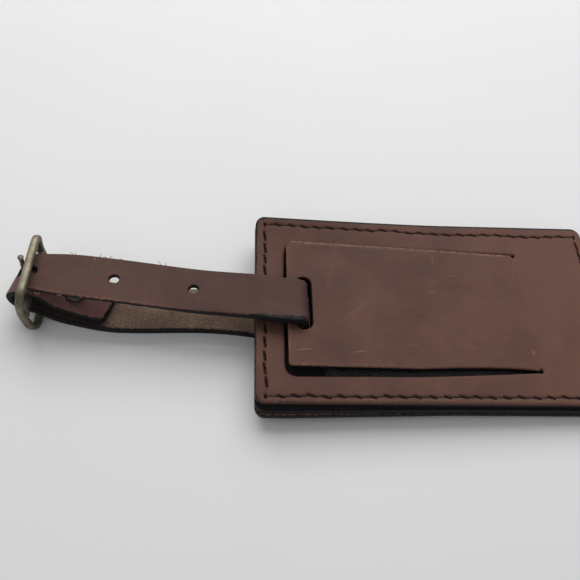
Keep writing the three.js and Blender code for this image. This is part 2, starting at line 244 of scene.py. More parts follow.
def catmull(corners, steps=24):
    """A uniform Catmull-Rom curve through the corners."""
    corners = np.array(corners, float)
    padded = np.vstack([corners[:1], corners, corners[-1:]])
    t = np.arange(steps)[:, None] / steps
    runs = []
    for i in range(len(corners) - 1):
        before, a, b, after = padded[i:i + 4]
        leave, arrive = (b - before) / 2, (after - a) / 2
        cubic = 2 * a - 2 * b + leave + arrive
        square = -3 * a + 3 * b - 2 * leave - arrive
        runs.append(cubic * t**3 + square * t**2 + leave * t + a)
    return np.vstack(runs + [corners[-1:]])


# ---- Distances in the plane ----
def segment_distance(points, starts, ends):
    """Distance from each point to the nearest of the segments."""
    nearest = np.full(len(points), 1e9)
    along = ends - starts
    square = np.maximum((along**2).sum(1), 1e-12)
    for first in range(0, len(points), 2000):
        part = points[first:first + 2000, None, :] - starts[None]
        t = np.clip((part * along).sum(2) / square, 0, 1)
        gap = part - t[:, :, None] * along
        nearest[first:first + 2000] = np.sqrt((gap**2).sum(2).min(1))
    return nearest


def is_inside(points, loops):
    """True where a point is inside an odd number of loops."""
    crossings = np.zeros(len(points), int)
    for loop in loops:
        ends = np.roll(loop, -1, 0)
        for (x0, y0), (x1, y1) in zip(loop, ends):
            spans = (y0 > points[:, 1]) != (y1 > points[:, 1])
            at = x0 + (points[:, 1] - y0) * (x1 - x0) / (y1 - y0 if y1 != y0 else 1e-12)
            crossings += spans & (points[:, 0] < at)
    return crossings % 2 == 1


def signed_area(loop):
    following = np.roll(loop, -1, 0)
    return float((loop[:, 0] * following[:, 1] - following[:, 0] * loop[:, 1]).sum()) / 2


def left_normals(loop):
    along = np.roll(loop, -1, 0) - np.roll(loop, 1, 0)
    along /= np.maximum(np.linalg.norm(along, axis=1, keepdims=True), 1e-9)
    return np.column_stack([-along[:, 1], along[:, 0]])


def level(points):
    """Plane points as 3-D points at height 0."""
    return np.column_stack([points, np.zeros(len(points))])


def wander(points, scale, seed=0.0):
    """Smooth noise in -1..1 at 3-D points."""
    shift = Vector((seed * 13.7, seed * 5.1, seed * 9.3))
    return np.array([noise.noise(Vector(p) * scale + shift) for p in points])


# ---- Meshes ----
def make_mesh(name, verts, faces, materials, kinds=None, attributes=None, sharp=None):
    """A mesh object from millimetre points. kinds holds a material number for each face."""
    mesh = bpy.data.meshes.new(name)
    mesh.from_pydata(((np.asarray(verts, float) + np.array(ORIGIN)) * MM).tolist(), [], faces)
    for material in materials:
        mesh.materials.append(material)
    if kinds is not None:
        mesh.polygons.foreach_set("material_index", np.asarray(kinds, np.int32))
    for label, values in (attributes or {}).items():
        values = np.asarray(values, np.float32)
        kind = "FLOAT_VECTOR" if values.ndim == 2 else "FLOAT"
        field = "vector" if values.ndim == 2 else "value"
        mesh.attributes.new(label, kind, "POINT").data.foreach_set(field, values.ravel())
    mesh.polygons.foreach_set("use_smooth", np.ones(len(mesh.polygons), bool))
    if sharp:
        mesh.set_sharp_from_angle(angle=math.radians(sharp))
    mesh.validate()
    mesh.update()
    piece = bpy.data.objects.new(name, mesh)
    bpy.context.scene.collection.objects.link(piece)
    return piece


def volume(verts, faces):
    total = 0.0
    for face in faces:
        a = verts[face[0]]
        for i in range(1, len(face) - 1):
            total += float(np.dot(a, np.cross(verts[face[i]], verts[face[i + 1]])))
    return total / 6


def triangulate(loops, inner):
    """Triangles over the area between the loops, through the inner points."""
    points = np.vstack(loops + [inner])
    edges, start = [], 0
    for loop in loops:
        edges += [(start + i, start + (i + 1) % len(loop)) for i in range(len(loop))]
        start += len(loop)
    found = geometry.delaunay_2d_cdt([Vector(p) for p in points], edges, [], 0, 1e-6)
    origin = np.array([ids[0] if ids else -1 for ids in found[3]])
    triangles = origin[np.array(found[2])]
    triangles = triangles[(triangles >= 0).all(1)]
    on_rim = (triangles < start).all(1)
    centres = points[triangles[on_rim]].mean(1)
    keep = np.ones(len(triangles), bool)
    keep[on_rim] = is_inside(centres, loops)
    triangles = triangles[keep]
    a, b, c = (points[triangles[:, i]] for i in range(3))
    turn = (b[:, 0] - a[:, 0]) * (c[:, 1] - a[:, 1]) - (b[:, 1] - a[:, 1]) * (c[:, 0] - a[:, 0])
    triangles[turn < 0] = triangles[turn < 0][:, ::-1]
    return points, triangles[np.abs(turn) > 1e-7]


def grid_points(low, high, spacing):
    rows = np.arange(low[1] + spacing / 2, high[1], spacing * 0.87)
    points = []
    for i, y in enumerate(rows):
        x = np.arange(low[0] + spacing * (0.25 + 0.5 * (i % 2)), high[0], spacing)
        points.append(np.column_stack([x, np.full(len(x), y)]))
    return np.vstack(points)


def leather_sheet(name, loops, thickness, place, materials, spacing=1.0, top_round=0.5, low_round=0.3,
                  relief=None, low_relief=None, fine=None, seam=None, fray=0.02, bulge=0.0, marks=None):
    """A sheet cut to the loops (outline first, then holes), with rounded edges, laid by place().

    place() takes points (along, across, height from the middle of the sheet) to the tag's millimetres.
    relief() and low_relief() lift or sink the two faces, fine is (distance function, reach, spacing) for
    a finer grid, seam() says which outline points aren't a cut edge, and marks() gives extra attributes.
    """
    loops = [loop if (signed_area(loop) > 0) == (i == 0) else loop[::-1] for i, loop in enumerate(loops)]
    starts = np.vstack(loops)
    ends = np.vstack([np.roll(loop, -1, 0) for loop in loops])
    if seam is not None:
        cut = ~(seam(starts) & seam(ends))
        starts_cut, ends_cut = starts[cut], ends[cut]
    else:
        starts_cut, ends_cut = starts, ends

    reach = max(top_round, low_round)
    rings = []
    for share in RING_SHARES:
        for loop in loops:
            ring = loop + left_normals(loop) * reach * share
            step = 1 if share < 0.6 else 2
            rings.append((ring[::step], reach * share))
    inner = []
    for ring, depth in rings:
        clear = segment_distance(ring, starts, ends)
        inner.append(ring[(clear > depth * 0.93) & is_inside(ring, loops)])
    low, high = loops[0].min(0), loops[0].max(0)
    grid = grid_points(low, high, spacing)
    grid = grid[is_inside(grid, loops)]
    grid = grid[segment_distance(grid, starts, ends) > reach * 1.05 + spacing * 0.35]
    if fine is not None:
        distance, width, small = fine
        grid = grid[distance(grid) > width + spacing * 0.3]
        dense = grid_points(low, high, small)
        dense = dense[distance(dense) < width]
        dense = dense[segment_distance(dense, starts, ends) > reach * 1.05 + small * 0.4]
        dense = dense[is_inside(dense, loops)]
        inner.append(dense)
    inner.append(grid)
    points, triangles = triangulate(loops, np.vstack(inner))
    count = len(points)

    rim = segment_distance(points, starts_cut, ends_cut)
    half = thickness / 2

    def shoulder(radius):
        inside = np.clip(rim, 0, radius)
        return radius - np.sqrt(np.maximum(radius**2 - (radius - inside) ** 2, 0))

    fade = np.clip(rim / max(reach, 0.1), 0, 1)
    top = half - shoulder(top_round) + (relief(points) * fade if relief else 0)
    bottom = -half + shoulder(low_round) + (low_relief(points) * fade if low_relief else 0)
    flat = [np.column_stack([points, top]), np.column_stack([points, bottom])]
    faces = triangles.tolist() + (triangles[:, ::-1] + count).tolist()
    kinds = [0] * len(triangles) + [2] * len(triangles)
    rims = [rim, rim]

    wall_rows = max(2, math.ceil((thickness - top_round - low_round) / 0.45))
    base, first = 2 * count, 0
    for loop in loops:
        size = len(loop)
        index = first + np.arange(size)
        rows = [index]
        outward = -left_normals(loop)
        for k in range(1, wall_rows):
            share = k / wall_rows
            height = top[index] * (1 - share) + bottom[index] * share
            spot = np.column_stack([loop, height])
            push = fray * wander(spot, 1.1, 3.0) + bulge * math.sin(math.pi * share)
            if seam is not None:
                push = np.where(seam(loop), 0, push)
            flat.append(np.column_stack([loop + outward * push[:, None], height]))
            rims.append(np.zeros(size))
            rows.append(base + np.arange(size))
            base += size
        rows.append(index + count)
        for upper, lower in zip(rows, rows[1:]):
            after_up, after_low = np.roll(upper, -1), np.roll(lower, -1)
            faces += np.column_stack([lower, after_low, after_up, upper]).tolist()
        kinds += [1] * (size * wall_rows)
        first += size

    flat = np.vstack(flat)
    verts = place(flat)
    if volume(verts, faces) < 0:
        faces = [face[::-1] for face in faces]
    attributes = {"leather": flat, "rim": np.concatenate(rims)}
    if marks is not None:
        attributes.update(marks(flat))
    return make_mesh(name, verts, faces, materials, kinds, attributes, sharp=50)


def sweep_rings(path, side, width, depth, sides=12, power=2.0, lobes=0, twist=0.0):
    """Rings of points along a path. side is the direction across; width and depth are half sizes."""
    path = np.asarray(path, float)
    count = len(path)
    along = np.gradient(path, axis=0)
    along /= np.linalg.norm(along, axis=1, keepdims=True)
    side = np.broadcast_to(np.asarray(side, float), path.shape)
    side = side - (side * along).sum(1)[:, None] * along
    side = side / np.linalg.norm(side, axis=1, keepdims=True)
    lift = np.cross(along, side)
    width = np.broadcast_to(width, count)
    depth = np.broadcast_to(depth, count)
    rings = []
    for i in range(count):
        angle = np.arange(sides) / sides * 2 * math.pi
        swell = 1 + (0.16 * np.cos(lobes * angle + twist * i) if lobes else 0)
        c, s = np.cos(angle), np.sin(angle)
        across = np.sign(c) * np.abs(c) ** (2 / power) * width[i] * swell
        up = np.sign(s) * np.abs(s) ** (2 / power) * depth[i] * swell
        rings.append(path[i] + across[:, None] * side[i] + up[:, None] * lift[i])
    return rings


def skin(rings, closed=False):
    """Points and faces over a run of rings, with its ends covered unless it is closed."""
    sides, count = len(rings[0]), len(rings)
    faces = []
    for i in range(count if closed else count - 1):
        a, b = i * sides, (i + 1) % count * sides
        for j in range(sides):
            k = (j + 1) % sides
            faces.append([a + j, a + k, b + k, b + j])
    if not closed:
        faces.append(list(range(sides))[::-1])
        faces.append([(count - 1) * sides + j for j in range(sides)])
    return np.vstack(rings), faces


def join_parts(parts):
    """One list of points and faces from several."""
    points, faces, base = [], [], 0
    for verts, part_faces in parts:
        points.append(verts)
        faces += [[index + base for index in face] for face in part_faces]
        base += len(verts)
    return np.vstack(points), faces


def revolve(profile, sides=48):
    """A turned shape about Z from (radius, height) points that start and end on the axis."""
    profile = np.asarray(profile, float)
    angle = np.arange(sides) / sides * 2 * math.pi
    rings = [np.column_stack([r * np.cos(angle), r * np.sin(angle), np.full(sides, z)])
             for r, z in profile[1:-1]]
    verts, faces = skin(rings)
    faces = faces[:-2]
    verts = np.vstack([verts, [[0, 0, profile[0][1]], [0, 0, profile[-1][1]]]])
    low, high, last = len(verts) - 2, len(verts) - 1, (len(rings) - 1) * sides
    for j in range(sides):
        k = (j + 1) % sides
        faces += [[low, k, j], [high, last + j, last + k]]
    return verts, faces


# ---- Materials ----
class Graph:
    """A material's nodes. Inputs may be sockets, numbers or colours."""

    def __init__(self, name):
        self.material = bpy.data.materials.new(name)
        self.material.use_nodes = True
        self.tree = self.material.node_tree
        self.shader = self.tree.nodes["Principled BSDF"]

    def put(self, socket, value):
        if isinstance(value, bpy.types.NodeSocket):
            self.tree.links.new(value, socket)
        elif isinstance(value, (tuple, list)) and len(value) == 3 and socket.type == "RGBA":
            socket.default_value = (*value, 1)
        else:
            socket.default_value = value

    def node(self, kind, inputs=(), **settings):
        node = self.tree.nodes.new(kind)
        for key, value in settings.items():
            setattr(node, key, value)
        for key, value in dict(inputs).items():
            self.put(node.inputs[key], value)
        return node

    def attribute(self, name, output="Vector"):
        return self.node("ShaderNodeAttribute", attribute_name=name).outputs[output]

    def math(self, operation, a, b=0.0, clamp=False):
        return self.node("ShaderNodeMath", {0: a, 1: b}, operation=operation, use_clamp=clamp).outputs[0]

    def stretch(self, vector, scale, place=(0, 0, 0), turn=0.0):
        inputs = {"Vector": vector, "Location": place, "Rotation": (0, 0, turn), "Scale": scale}
        return self.node("ShaderNodeMapping", inputs, vector_type="TEXTURE").outputs[0]

    def noise(self, vector, scale, detail=4.0, roughness=0.55, distortion=0.0):
        inputs = {"Vector": vector, "Scale": scale, "Detail": detail, "Roughness": roughness,
                  "Distortion": distortion}
        return self.node("ShaderNodeTexNoise", inputs).outputs["Fac"]

    def cell_edges(self, vector, scale):
        inputs = {"Vector": vector, "Scale": scale}
        return self.node("ShaderNodeTexVoronoi", inputs, feature="DISTANCE_TO_EDGE").outputs["Distance"]

    def span(self, value, low, high, to_low=0.0, to_high=1.0):
        inputs = {"Value": value, "From Min": low, "From Max": high, "To Min": to_low, "To Max": to_high}
        return self.node("ShaderNodeMapRange", inputs, interpolation_type="SMOOTHSTEP").outputs[0]

    def mix(self, share, a, b):
        node = self.node("ShaderNodeMix", data_type="RGBA")
        self.put(node.inputs[0], share)
        self.put(node.inputs[6], a)
        self.put(node.inputs[7], b)
        return node.outputs[2]

    def bump(self, height, strength, distance, under=None):
        inputs = {"Height": height, "Strength": strength, "Distance": distance * MM}
        if under is not None:
            inputs["Normal"] = under
        return self.node("ShaderNodeBump", inputs).outputs[0]

    def finish(self, colour, roughness, normal=None, **values):
        self.put(self.shader.inputs["Base Color"], colour)
        self.put(self.shader.inputs["Roughness"], roughness)
        if normal is not None:
            self.put(self.shader.inputs["Normal"], normal)
        for key, value in values.items():
            self.put(self.shader.inputs[key.replace("_", " ").title().replace("Ior", "IOR")], value)
        return self.material


# Light scuffs on the flap and panel: (x, y, turn in degrees, length, width, strength), in millimetres.
SCUFFS = (
    (14.6, -17.6, 8, 3.4, 0.30, 1.0), (31.8, -17.8, 6, 3.2, 0.30, 0.9), (57.5, 5.6, 28, 2.0, 0.30, 0.8),
    (49.0, -14.8, 10, 3.0, 0.25, 0.55), (68.0, -15.0, -22, 3.6, 0.22, 0.5),
    (87.2, -16.6, 80, 1.3, 0.75, 0.75), (32.8, -1.8, 42, 9.0, 0.45, 0.3), (66.0, 12.6, 0, 2.4, 0.3, 0.45),
    (41.0, -22.0, -35, 1.4, 0.25, 0.6), (24.0, 10.0, 75, 8.0, 0.8, 0.15), (59.5, 18.6, 85, 2.2, 0.4, 0.55),
)

# Black of the edge ink, also used for painted shade.
INK_AND_SHADE_BLACK = (0.0065, 0.0058, 0.006)
# Light tan of wear, also used as a painted highlight on edges.
WEAR_AND_HIGHLIGHT_TAN = (0.30, 0.165, 0.115)


def grain_leather(name, dark, light, scuffs=(), pebble=0.0, painted_sheen=0.0):
    """Waxed pull-up leather: grain side, with cloudy colour, scuffs and darkened cut edges.

    The attributes rim (distance to the cut edge), ink (how far the edge ink reaches), wear_and_highlight
    (edge wear and a painted highlight) and grime_and_shade (painted shade, and darker patches) come from
    the sheet. pebble is the strength of the grain's bumps, and painted_sheen lightens the right end as a
    painted sheen.
    """
    g = Graph(name)
    at = g.attribute("leather")
    rim = g.attribute("rim", "Fac")
    cloud = g.noise(at, 0.045, 3.0, 0.6, 0.6)
    patch = g.noise(at, 0.17, 4.0, 0.6, 0.3)
    brushed = g.noise(g.stretch(at, (9.0, 0.9, 1.0), turn=0.12), 1.0, 5.0, 0.65)
    pores = g.noise(at, 2.6, 6.0, 0.75)
    tone = g.math("ADD", g.span(cloud, 0.3, 0.7, 0.0, 0.6), g.span(patch, 0.3, 0.72, 0.0, 0.4))
    colour = g.mix(tone, dark, light)
    colour = g.mix(g.span(brushed, 0.35, 0.75, 0.0, 0.05), colour, WEAR_AND_HIGHLIGHT_TAN)
    colour = g.mix(g.span(pores, 0.3, 0.55, 0.3, 0.0), colour, tuple(c * 0.35 for c in dark))
    # Painted sheen: the right end is lightened, standing in for the window's sheen on the leather.
    along = g.node("ShaderNodeSeparateXYZ", {"Vector": at}).outputs["X"]
    colour = g.mix(g.span(along, 45.0, 118.0, 0.0, painted_sheen), colour, tuple(c * 1.5 for c in light))
    rubs = g.noise(g.stretch(at, (3.2, 0.35, 1.0), turn=0.5), 0.6, 5.0, 0.7, 0.8)
    colour = g.mix(g.span(rubs, 0.68, 0.82, 0.0, 0.16), colour, WEAR_AND_HIGHLIGHT_TAN)
    for x, y, turn, length, width, strength in scuffs:
        local = g.stretch(at, (length, width, 100.0), (x, y, 0), math.radians(turn))
        reach = g.node("ShaderNodeVectorMath", {0: local}, operation="LENGTH").outputs["Value"]
        ragged = g.math("ADD", reach, g.span(pores, 0.3, 0.7, -0.35, 0.35))
        colour = g.mix(g.span(ragged, 1.1, 0.2, 0.0, strength * 0.5), colour, WEAR_AND_HIGHLIGHT_TAN)
    # Edges lightened towards tan where the mesh asks, for wear and as a painted highlight.
    wear_and_highlight = g.attribute("wear_and_highlight", "Fac")
    broken = g.span(g.noise(at, 0.8, 4.0, 0.7), 0.35, 0.62)
    colour = g.mix(g.math("MULTIPLY", wear_and_highlight, broken), colour, WEAR_AND_HIGHLIGHT_TAN)
    ragged_rim = g.math("ADD", rim, g.span(g.noise(at, 1.3, 4.0, 0.7), 0.25, 0.75, -0.28, 0.28))
    beyond = g.math("SUBTRACT", ragged_rim, g.attribute("ink", "Fac"))
    inked = g.span(beyond, 0.2, -0.12)
    inked = g.math("MULTIPLY", inked, g.math("SUBTRACT", 1.0, wear_and_highlight, True))
    colour = g.mix(inked, colour, tuple(c * 0.6 for c in INK_AND_SHADE_BLACK))
    # Darkened towards black: painted shade in the stitch holes and under the tab, and darker patches on the
    # strap.
    grime_and_shade = g.attribute("grime_and_shade", "Fac")
    colour = g.mix(grime_and_shade, colour, INK_AND_SHADE_BLACK)
    height = g.math("ADD", g.math("MULTIPLY", pores, 0.5), g.math("MULTIPLY", brushed, 0.1))
    normal = g.bump(height, 0.4, 0.12)
    if pebble:
        normal = g.bump(g.span(g.cell_edges(at, 1.6), 0.0, 0.16), pebble, 0.16, normal)
    normal = g.bump(patch, 0.25, 0.5, normal)
    roughness = g.span(patch, 0.3, 0.75, 0.54, 0.68)
    roughness = g.math("SUBTRACT", roughness, g.math("MULTIPLY", inked, 0.1))
    return g.finish(colour, roughness, normal, specular_ior_level=0.2)


def edge_leather(name, light=(0.02, 0.017, 0.016), rough=0.55, fibre=0.1):
    """Cut edge: inked black, with the fibre showing through."""
    g = Graph(name)
    at = g.attribute("leather")
    layers = g.noise(g.stretch(at, (4.0, 4.0, 0.28)), 1.0, 5.0, 0.7, 0.4)
    specks = g.noise(at, 3.5, 5.0, 0.75)
    share = g.math("MULTIPLY", g.span(layers, 0.42, 0.72), g.span(specks, 0.4, 0.7))
    colour = g.mix(share, INK_AND_SHADE_BLACK, light)
    bare = g.math("MULTIPLY", g.span(g.noise(at, 0.5, 4.0, 0.75), 0.6, 0.72), g.span(specks, 0.5, 0.66))
    colour = g.mix(g.math("MULTIPLY", bare, fibre), colour, (0.12, 0.075, 0.05))
    height = g.math("ADD", layers, g.math("MULTIPLY", specks, 0.6))
    normal = g.bump(height, 0.6, 0.18)
    roughness = g.span(specks, 0.3, 0.7, rough - 0.1, rough + 0.15)
    return g.finish(colour, roughness, normal, specular_ior_level=0.22)


def flesh_leather(name, dark=(0.11, 0.068, 0.052), light=(0.74, 0.51, 0.37)):
    """Flesh side: short matted fibres in speckled tan and brown."""
    g = Graph(name)
    at = g.attribute("leather")
    rim = g.attribute("rim", "Fac")
    nap = g.noise(at, 2.1, 6.0, 0.78, 0.7)
    curls = g.noise(g.stretch(at, (0.8, 0.3, 1.0), turn=0.7), 1.0, 5.0, 0.75, 1.5)
    tone = g.math("ADD", g.span(nap, 0.36, 0.66, 0.0, 0.62), g.span(curls, 0.45, 0.72, 0.0, 0.45), True)
    colour = g.mix(tone, dark, light)
    cloud = g.span(g.noise(at, 0.12, 3.0, 0.6), 0.35, 0.7, 0.0, 0.45)
    colour = g.mix(cloud, colour, tuple(c * 1.3 for c in dark))
    ragged_rim = g.math("ADD", rim, g.span(nap, 0.25, 0.75, -0.5, 0.5))
    colour = g.mix(g.span(ragged_rim, 0.8, 0.1), colour, INK_AND_SHADE_BLACK)
    # Darkened towards black: painted shade in the stitch holes and under the tab, and darker patches on the
    # strap.
    colour = g.mix(g.attribute("grime_and_shade", "Fac"), colour, INK_AND_SHADE_BLACK)
    normal = g.bump(g.math("ADD", nap, g.math("MULTIPLY", curls, 0.8)), 0.9, 0.35)
    return g.finish(colour, 0.92, normal, specular_ior_level=0.25)


def object_coords(g):
    """Millimetre coordinates of the piece, which lies at the origin unposed."""
    place = g.node("ShaderNodeTexCoord").outputs["Object"]
    return g.stretch(place, (MM, MM, MM))


def antique_brass():
    g = Graph("antique_brass")
    at = object_coords(g)
    wear_and_highlight = g.attribute("wear_and_highlight", "Fac")
    cloud = g.noise(at, 0.35, 4.0, 0.65, 0.4)
    pits = g.noise(at, 3.0, 5.0, 0.7)
    # Lightened towards bright brass where the mesh asks, for wear and as a painted highlight, and at random.
    rub_and_highlight = g.math("ADD", g.math("MULTIPLY", wear_and_highlight, 0.8), g.span(cloud, 0.35, 0.7, -0.25, 0.35), True)
    colour = g.mix(rub_and_highlight, (0.155, 0.138, 0.102), (0.33, 0.29, 0.2))
    colour = g.mix(g.span(pits, 0.5, 0.34, 0.0, 0.5), colour, (0.05, 0.042, 0.03))
    scratches = g.noise(g.stretch(at, (0.15, 2.4, 2.4), turn=0.3), 1.0, 4.0, 0.7)
    normal = g.bump(g.math("ADD", pits, g.math("MULTIPLY", scratches, 0.4)), 0.35, 0.12)
    rough = g.math("SUBTRACT", 0.62, g.math("MULTIPLY", rub_and_highlight, 0.14))
    return g.finish(colour, rough, normal, metallic=0.7)


def rivet_metal():
    g = Graph("rivet_metal")
    at = object_coords(g)
    wear_and_highlight = g.attribute("wear_and_highlight", "Fac")
    cloud = g.noise(at, 0.8, 5.0, 0.7)
    # Painted highlight, and wear: the ring given by the mesh turns towards bright metal.
    rub_and_highlight = g.math("MULTIPLY", wear_and_highlight, g.span(cloud, 0.3, 0.6))
    colour = g.mix(rub_and_highlight, (0.018, 0.016, 0.015), (0.22, 0.2, 0.17))
    normal = g.bump(g.noise(at, 4.0, 5.0, 0.7), 0.3, 0.1)
    return g.finish(colour, g.span(cloud, 0.3, 0.7, 0.28, 0.45), normal, metallic=0.9)


def waxed_thread():
    g = Graph("waxed_thread")
    at = object_coords(g)
    strands = g.noise(at, 3.0, 5.0, 0.7)
    colour = g.mix(g.span(strands, 0.35, 0.75), (0.016, 0.0085, 0.007), (0.05, 0.026, 0.019))
    rough = g.span(strands, 0.3, 0.7, 0.7, 0.85)
    return g.finish(colour, rough, g.bump(strands, 0.4, 0.08), specular_ior_level=0.12)


def loose_fibre():
    g = Graph("loose_fibre")
    at = object_coords(g)
    share = g.noise(at, 0.6, 3.0)
    return g.finish(g.mix(share, (0.22, 0.13, 0.075), (0.42, 0.29, 0.19)), 0.8)


def card_stock():
    g = Graph("card_stock")
    at = g.attribute("leather")
    pulp = g.noise(at, 2.0, 6.0, 0.75)
    colour = g.mix(g.span(pulp, 0.3, 0.7), (0.72, 0.68, 0.58), (0.80, 0.77, 0.69))
    blot = g.noise(at, 0.1, 3.0)
    colour = g.mix(g.span(blot, 0.5, 0.8, 0.0, 0.25), colour, (0.62, 0.55, 0.43))
    return g.finish(colour, 0.75, g.bump(pulp, 0.2, 0.05))


def window_film():
    g = Graph("window_film")
    at = g.attribute("leather")
    haze = g.noise(at, 0.25, 4.0, 0.6)
    colour = g.mix(haze, (0.40, 0.42, 0.42), (0.5, 0.52, 0.52))
    g.finish(colour, g.span(haze, 0.3, 0.7, 0.3, 0.45), g.bump(haze, 0.15, 0.6), specular_ior_level=0.06)
    g.shader.inputs["Alpha"].default_value = 0.05
    return g.material


def table_paint():
    g = Graph("table_paint")
    at = object_coords(g)
    wash = g.noise(at, 0.01, 3.0)
    colour = g.mix(g.span(wash, 0.3, 0.7), (0.80, 0.80, 0.785), (0.815, 0.815, 0.80))
    return g.finish(colour, 0.62, g.bump(g.noise(at, 0.5, 4.0), 0.05, 0.2))


# ---- Where the sheets lie ----
def far_curl(x, y):
    """The body's far edge curls up towards its left end."""
    along = np.clip((62 - x) / 62, 0, 1) ** 1.3
    return FAR_CURL * along * np.clip((y - 17) / 18, 0, 1.05) ** 2


def body_place(bottom, top):
    """Lays a sheet in the tilted body, between two heights above its underside."""
    middle = (bottom + top) / 2

    def place(flat):
        x, y, z = flat[:, 0], flat[:, 1], flat[:, 2] + middle
        run = x * math.cos(BODY_TILT) + z * math.sin(BODY_TILT)
        rise = BODY_LIFT - x * math.sin(BODY_TILT) + z * math.cos(BODY_TILT) + far_curl(x, y)
        return np.column_stack([run, y, rise])

    return place


def flap_place(flat):
    """The flap bends up from its hinge line and then runs straight."""
    reach = np.maximum(HINGE_X - flat[:, 0], 0)
    t = np.clip(reach / FLAP_BEND, 0, 1)
    angle = FLAP_RISE * t * t * (3 - 2 * t)
    climbed = FLAP_BEND * (t**3 - t**4 / 2) + np.maximum(reach - FLAP_BEND, 0)
    height = flat[:, 2] - FLAP_THICKNESS / 2
    x = flat[:, 0] + height * np.sin(angle)
    z = FRONT_TOP + math.sin(FLAP_RISE) * climbed + height * np.cos(angle)
    return body_place(0, 0)(np.column_stack([x, flat[:, 1], z]))


class Route:
    """A strap's centre line in the X-Z plane, and its middle line in plan."""

    def __init__(self, centre, plan, thin_x=None):
        self.thin_x = thin_x
        steps = np.linalg.norm(np.diff(centre, axis=0), axis=1)
        far = np.concatenate([[0], np.cumsum(steps)])
        keep = np.concatenate([[True], steps > 1e-6])
        self.length = float(far[-1])
        self.s = np.linspace(0, self.length, 1200)
        x = np.interp(self.s, far[keep], centre[keep, 0])
        z = np.interp(self.s, far[keep], centre[keep, 1])
        soft = np.hanning(SOFT_SAMPLES)
        soft = soft / soft.sum()
        self.x, self.z = (self.smooth(value, soft) for value in (x, z))
        dx, dz = np.gradient(self.x), np.gradient(self.z)
        size = np.hypot(dx, dz)
        self.nx, self.nz = -dz / size, dx / size
        self.plan_x, self.plan_y = catmull(plan, 60).T
        self.slope = np.gradient(self.plan_y, self.plan_x)

    def thickness_at(self, s):
        """Share of the full thickness that is left where the strap is skived, left of thin_x."""
        if self.thin_x is None:
            return np.ones(len(s))
        t = np.clip((self.thin_x - np.interp(s, self.s, self.x)) / 5.0, 0, 1)
        return 1 - (1 - FOLD_THINNING) * t * t * (3 - 2 * t)

    @staticmethod
    def smooth(value, soft):
        """Values softened along the route, which carries on straight past its ends."""
        pad = len(soft) // 2
        ends = (2 * value[0] - value[pad:0:-1], value, 2 * value[-1] - value[-2:-pad - 2:-1])
        return np.convolve(np.concatenate(ends), soft, "valid")

    def place(self, flat):
        """Lays a sheet along the route: its own (along, across, height) to the tag's millimetres."""
        s, across, height = flat.T
        height = STRAP_THICKNESS / 2 - (STRAP_THICKNESS / 2 - height) * self.thickness_at(s)
        x = np.interp(s, self.s, self.x) + np.interp(s, self.s, self.nx) * height
        z = np.interp(s, self.s, self.z) + np.interp(s, self.s, self.nz) * height
        y = np.interp(x, self.plan_x, self.plan_y)
        angle = np.arctan(np.interp(x, self.plan_x, self.slope))
        return np.column_stack([x - across * np.sin(angle), y + across * np.cos(angle), z])

    def at(self, x, first=0.0, last=1.0):
        """How far along the strap reaches x, searched between two shares of its length."""
        inside = (self.s >= first * self.length) & (self.s <= last * self.length)
        return float(self.s[inside][np.abs(self.x[inside] - x).argmin()])

    def plan_at(self, x):
        return float(np.interp(x, self.plan_x, self.plan_y))


def lower_route():
    """From inside the slot down to the table, out along it, round the buckle's bar and back as the tab."""
    table = STRAP_THICKNESS / 2
    bend = 1.8
    low, high = FOLD_Z - FOLD_RADIUS, FOLD_Z + FOLD_RADIUS
    return Route(np.vstack([
        line((RISER_X, 6.4), (RISER_X, table + bend)),
        arc((RISER_X - bend, table + bend), bend, 0, -90),
        line((RISER_X - bend, table), (-55, table), 2),
        catmull([(-55, table), (-60.5, 1.5), (-64, 2.25), (-66.3, 3.35), (-68.2, low - 0.1),
                 (-71.5, low)])[:-1],
        line((-71.5, low), (FOLD_X, low)),
        arc((FOLD_X, FOLD_Z), FOLD_RADIUS, -90, -270),
        catmull([(FOLD_X, high), (-71, high), (-69, 12.4), (-67.2, 11.3), (-65.5, 9.7), (-64.2, 7.9),
                 (-62.8, 6.7), (-61, 6.25), (-58, 5.8), (-55, 5.35), (-52.5, 4.95), (-50, 4.65),
                 (TAB_END_X, 4.4)]),
    ]), LOWER_PLAN, thin_x=-64.0)


def upper_route():
    """From inside the slot up through the flap, and out to the punched end in the buckle."""
    bend, bend_z = 2.4, 12.35
    top = bend_z + bend
    return Route(np.vstack([
        line((RISER_X, 3.0), (RISER_X, bend_z)),
        arc((RISER_X - bend, bend_z), bend, 0, 90),
        catmull([(RISER_X - bend, top), (11.5, top), (8, 14.6), (0, 14.05), (-10, 13.8), (-20, 13.85),
                 (-45, 14.8), (-60, 15.5), (STRAP_END_X, 15.6)]),
    ]), UPPER_PLAN)


# ---- The body's sheets ----
def opening_outline():
    """The front panel's opening: the slit's outer side, the two stop holes and the hinge line."""
    far, near = STOP_HOLES
    r = STOP_HOLE_RADIUS
    leave = (far[0] - r * 0.7, far[1] + r * 0.7)
    arrive = (near[0] - r * 0.7, near[1] - r * 0.7)
    return np.vstack([
        line((HINGE_X, near[1] + r), (HINGE_X, far[1] - r), 0.8),
        arc(far, r, -90, 135, 0.15),
        line(leave, (60, 23.5)),
        line((60, 23.5), (13.3, 24.6)),
        bow((13.3, 24.6), (9.5, 24.8), (9.4, 21.4)),
        line((9.4, 21.4), (8.9, 8)),
        line((8.9, 8), (8.8, -21.6)),
        bow((8.8, -21.6), (8.9, -25.4), (12.8, -25.5)),
        line((12.8, -25.5), (50, -25.3)),
        bow((50, -25.3), (72, -24.6), arrive, 0.5),
        arc(near, r, -135, 90, 0.15),
    ])


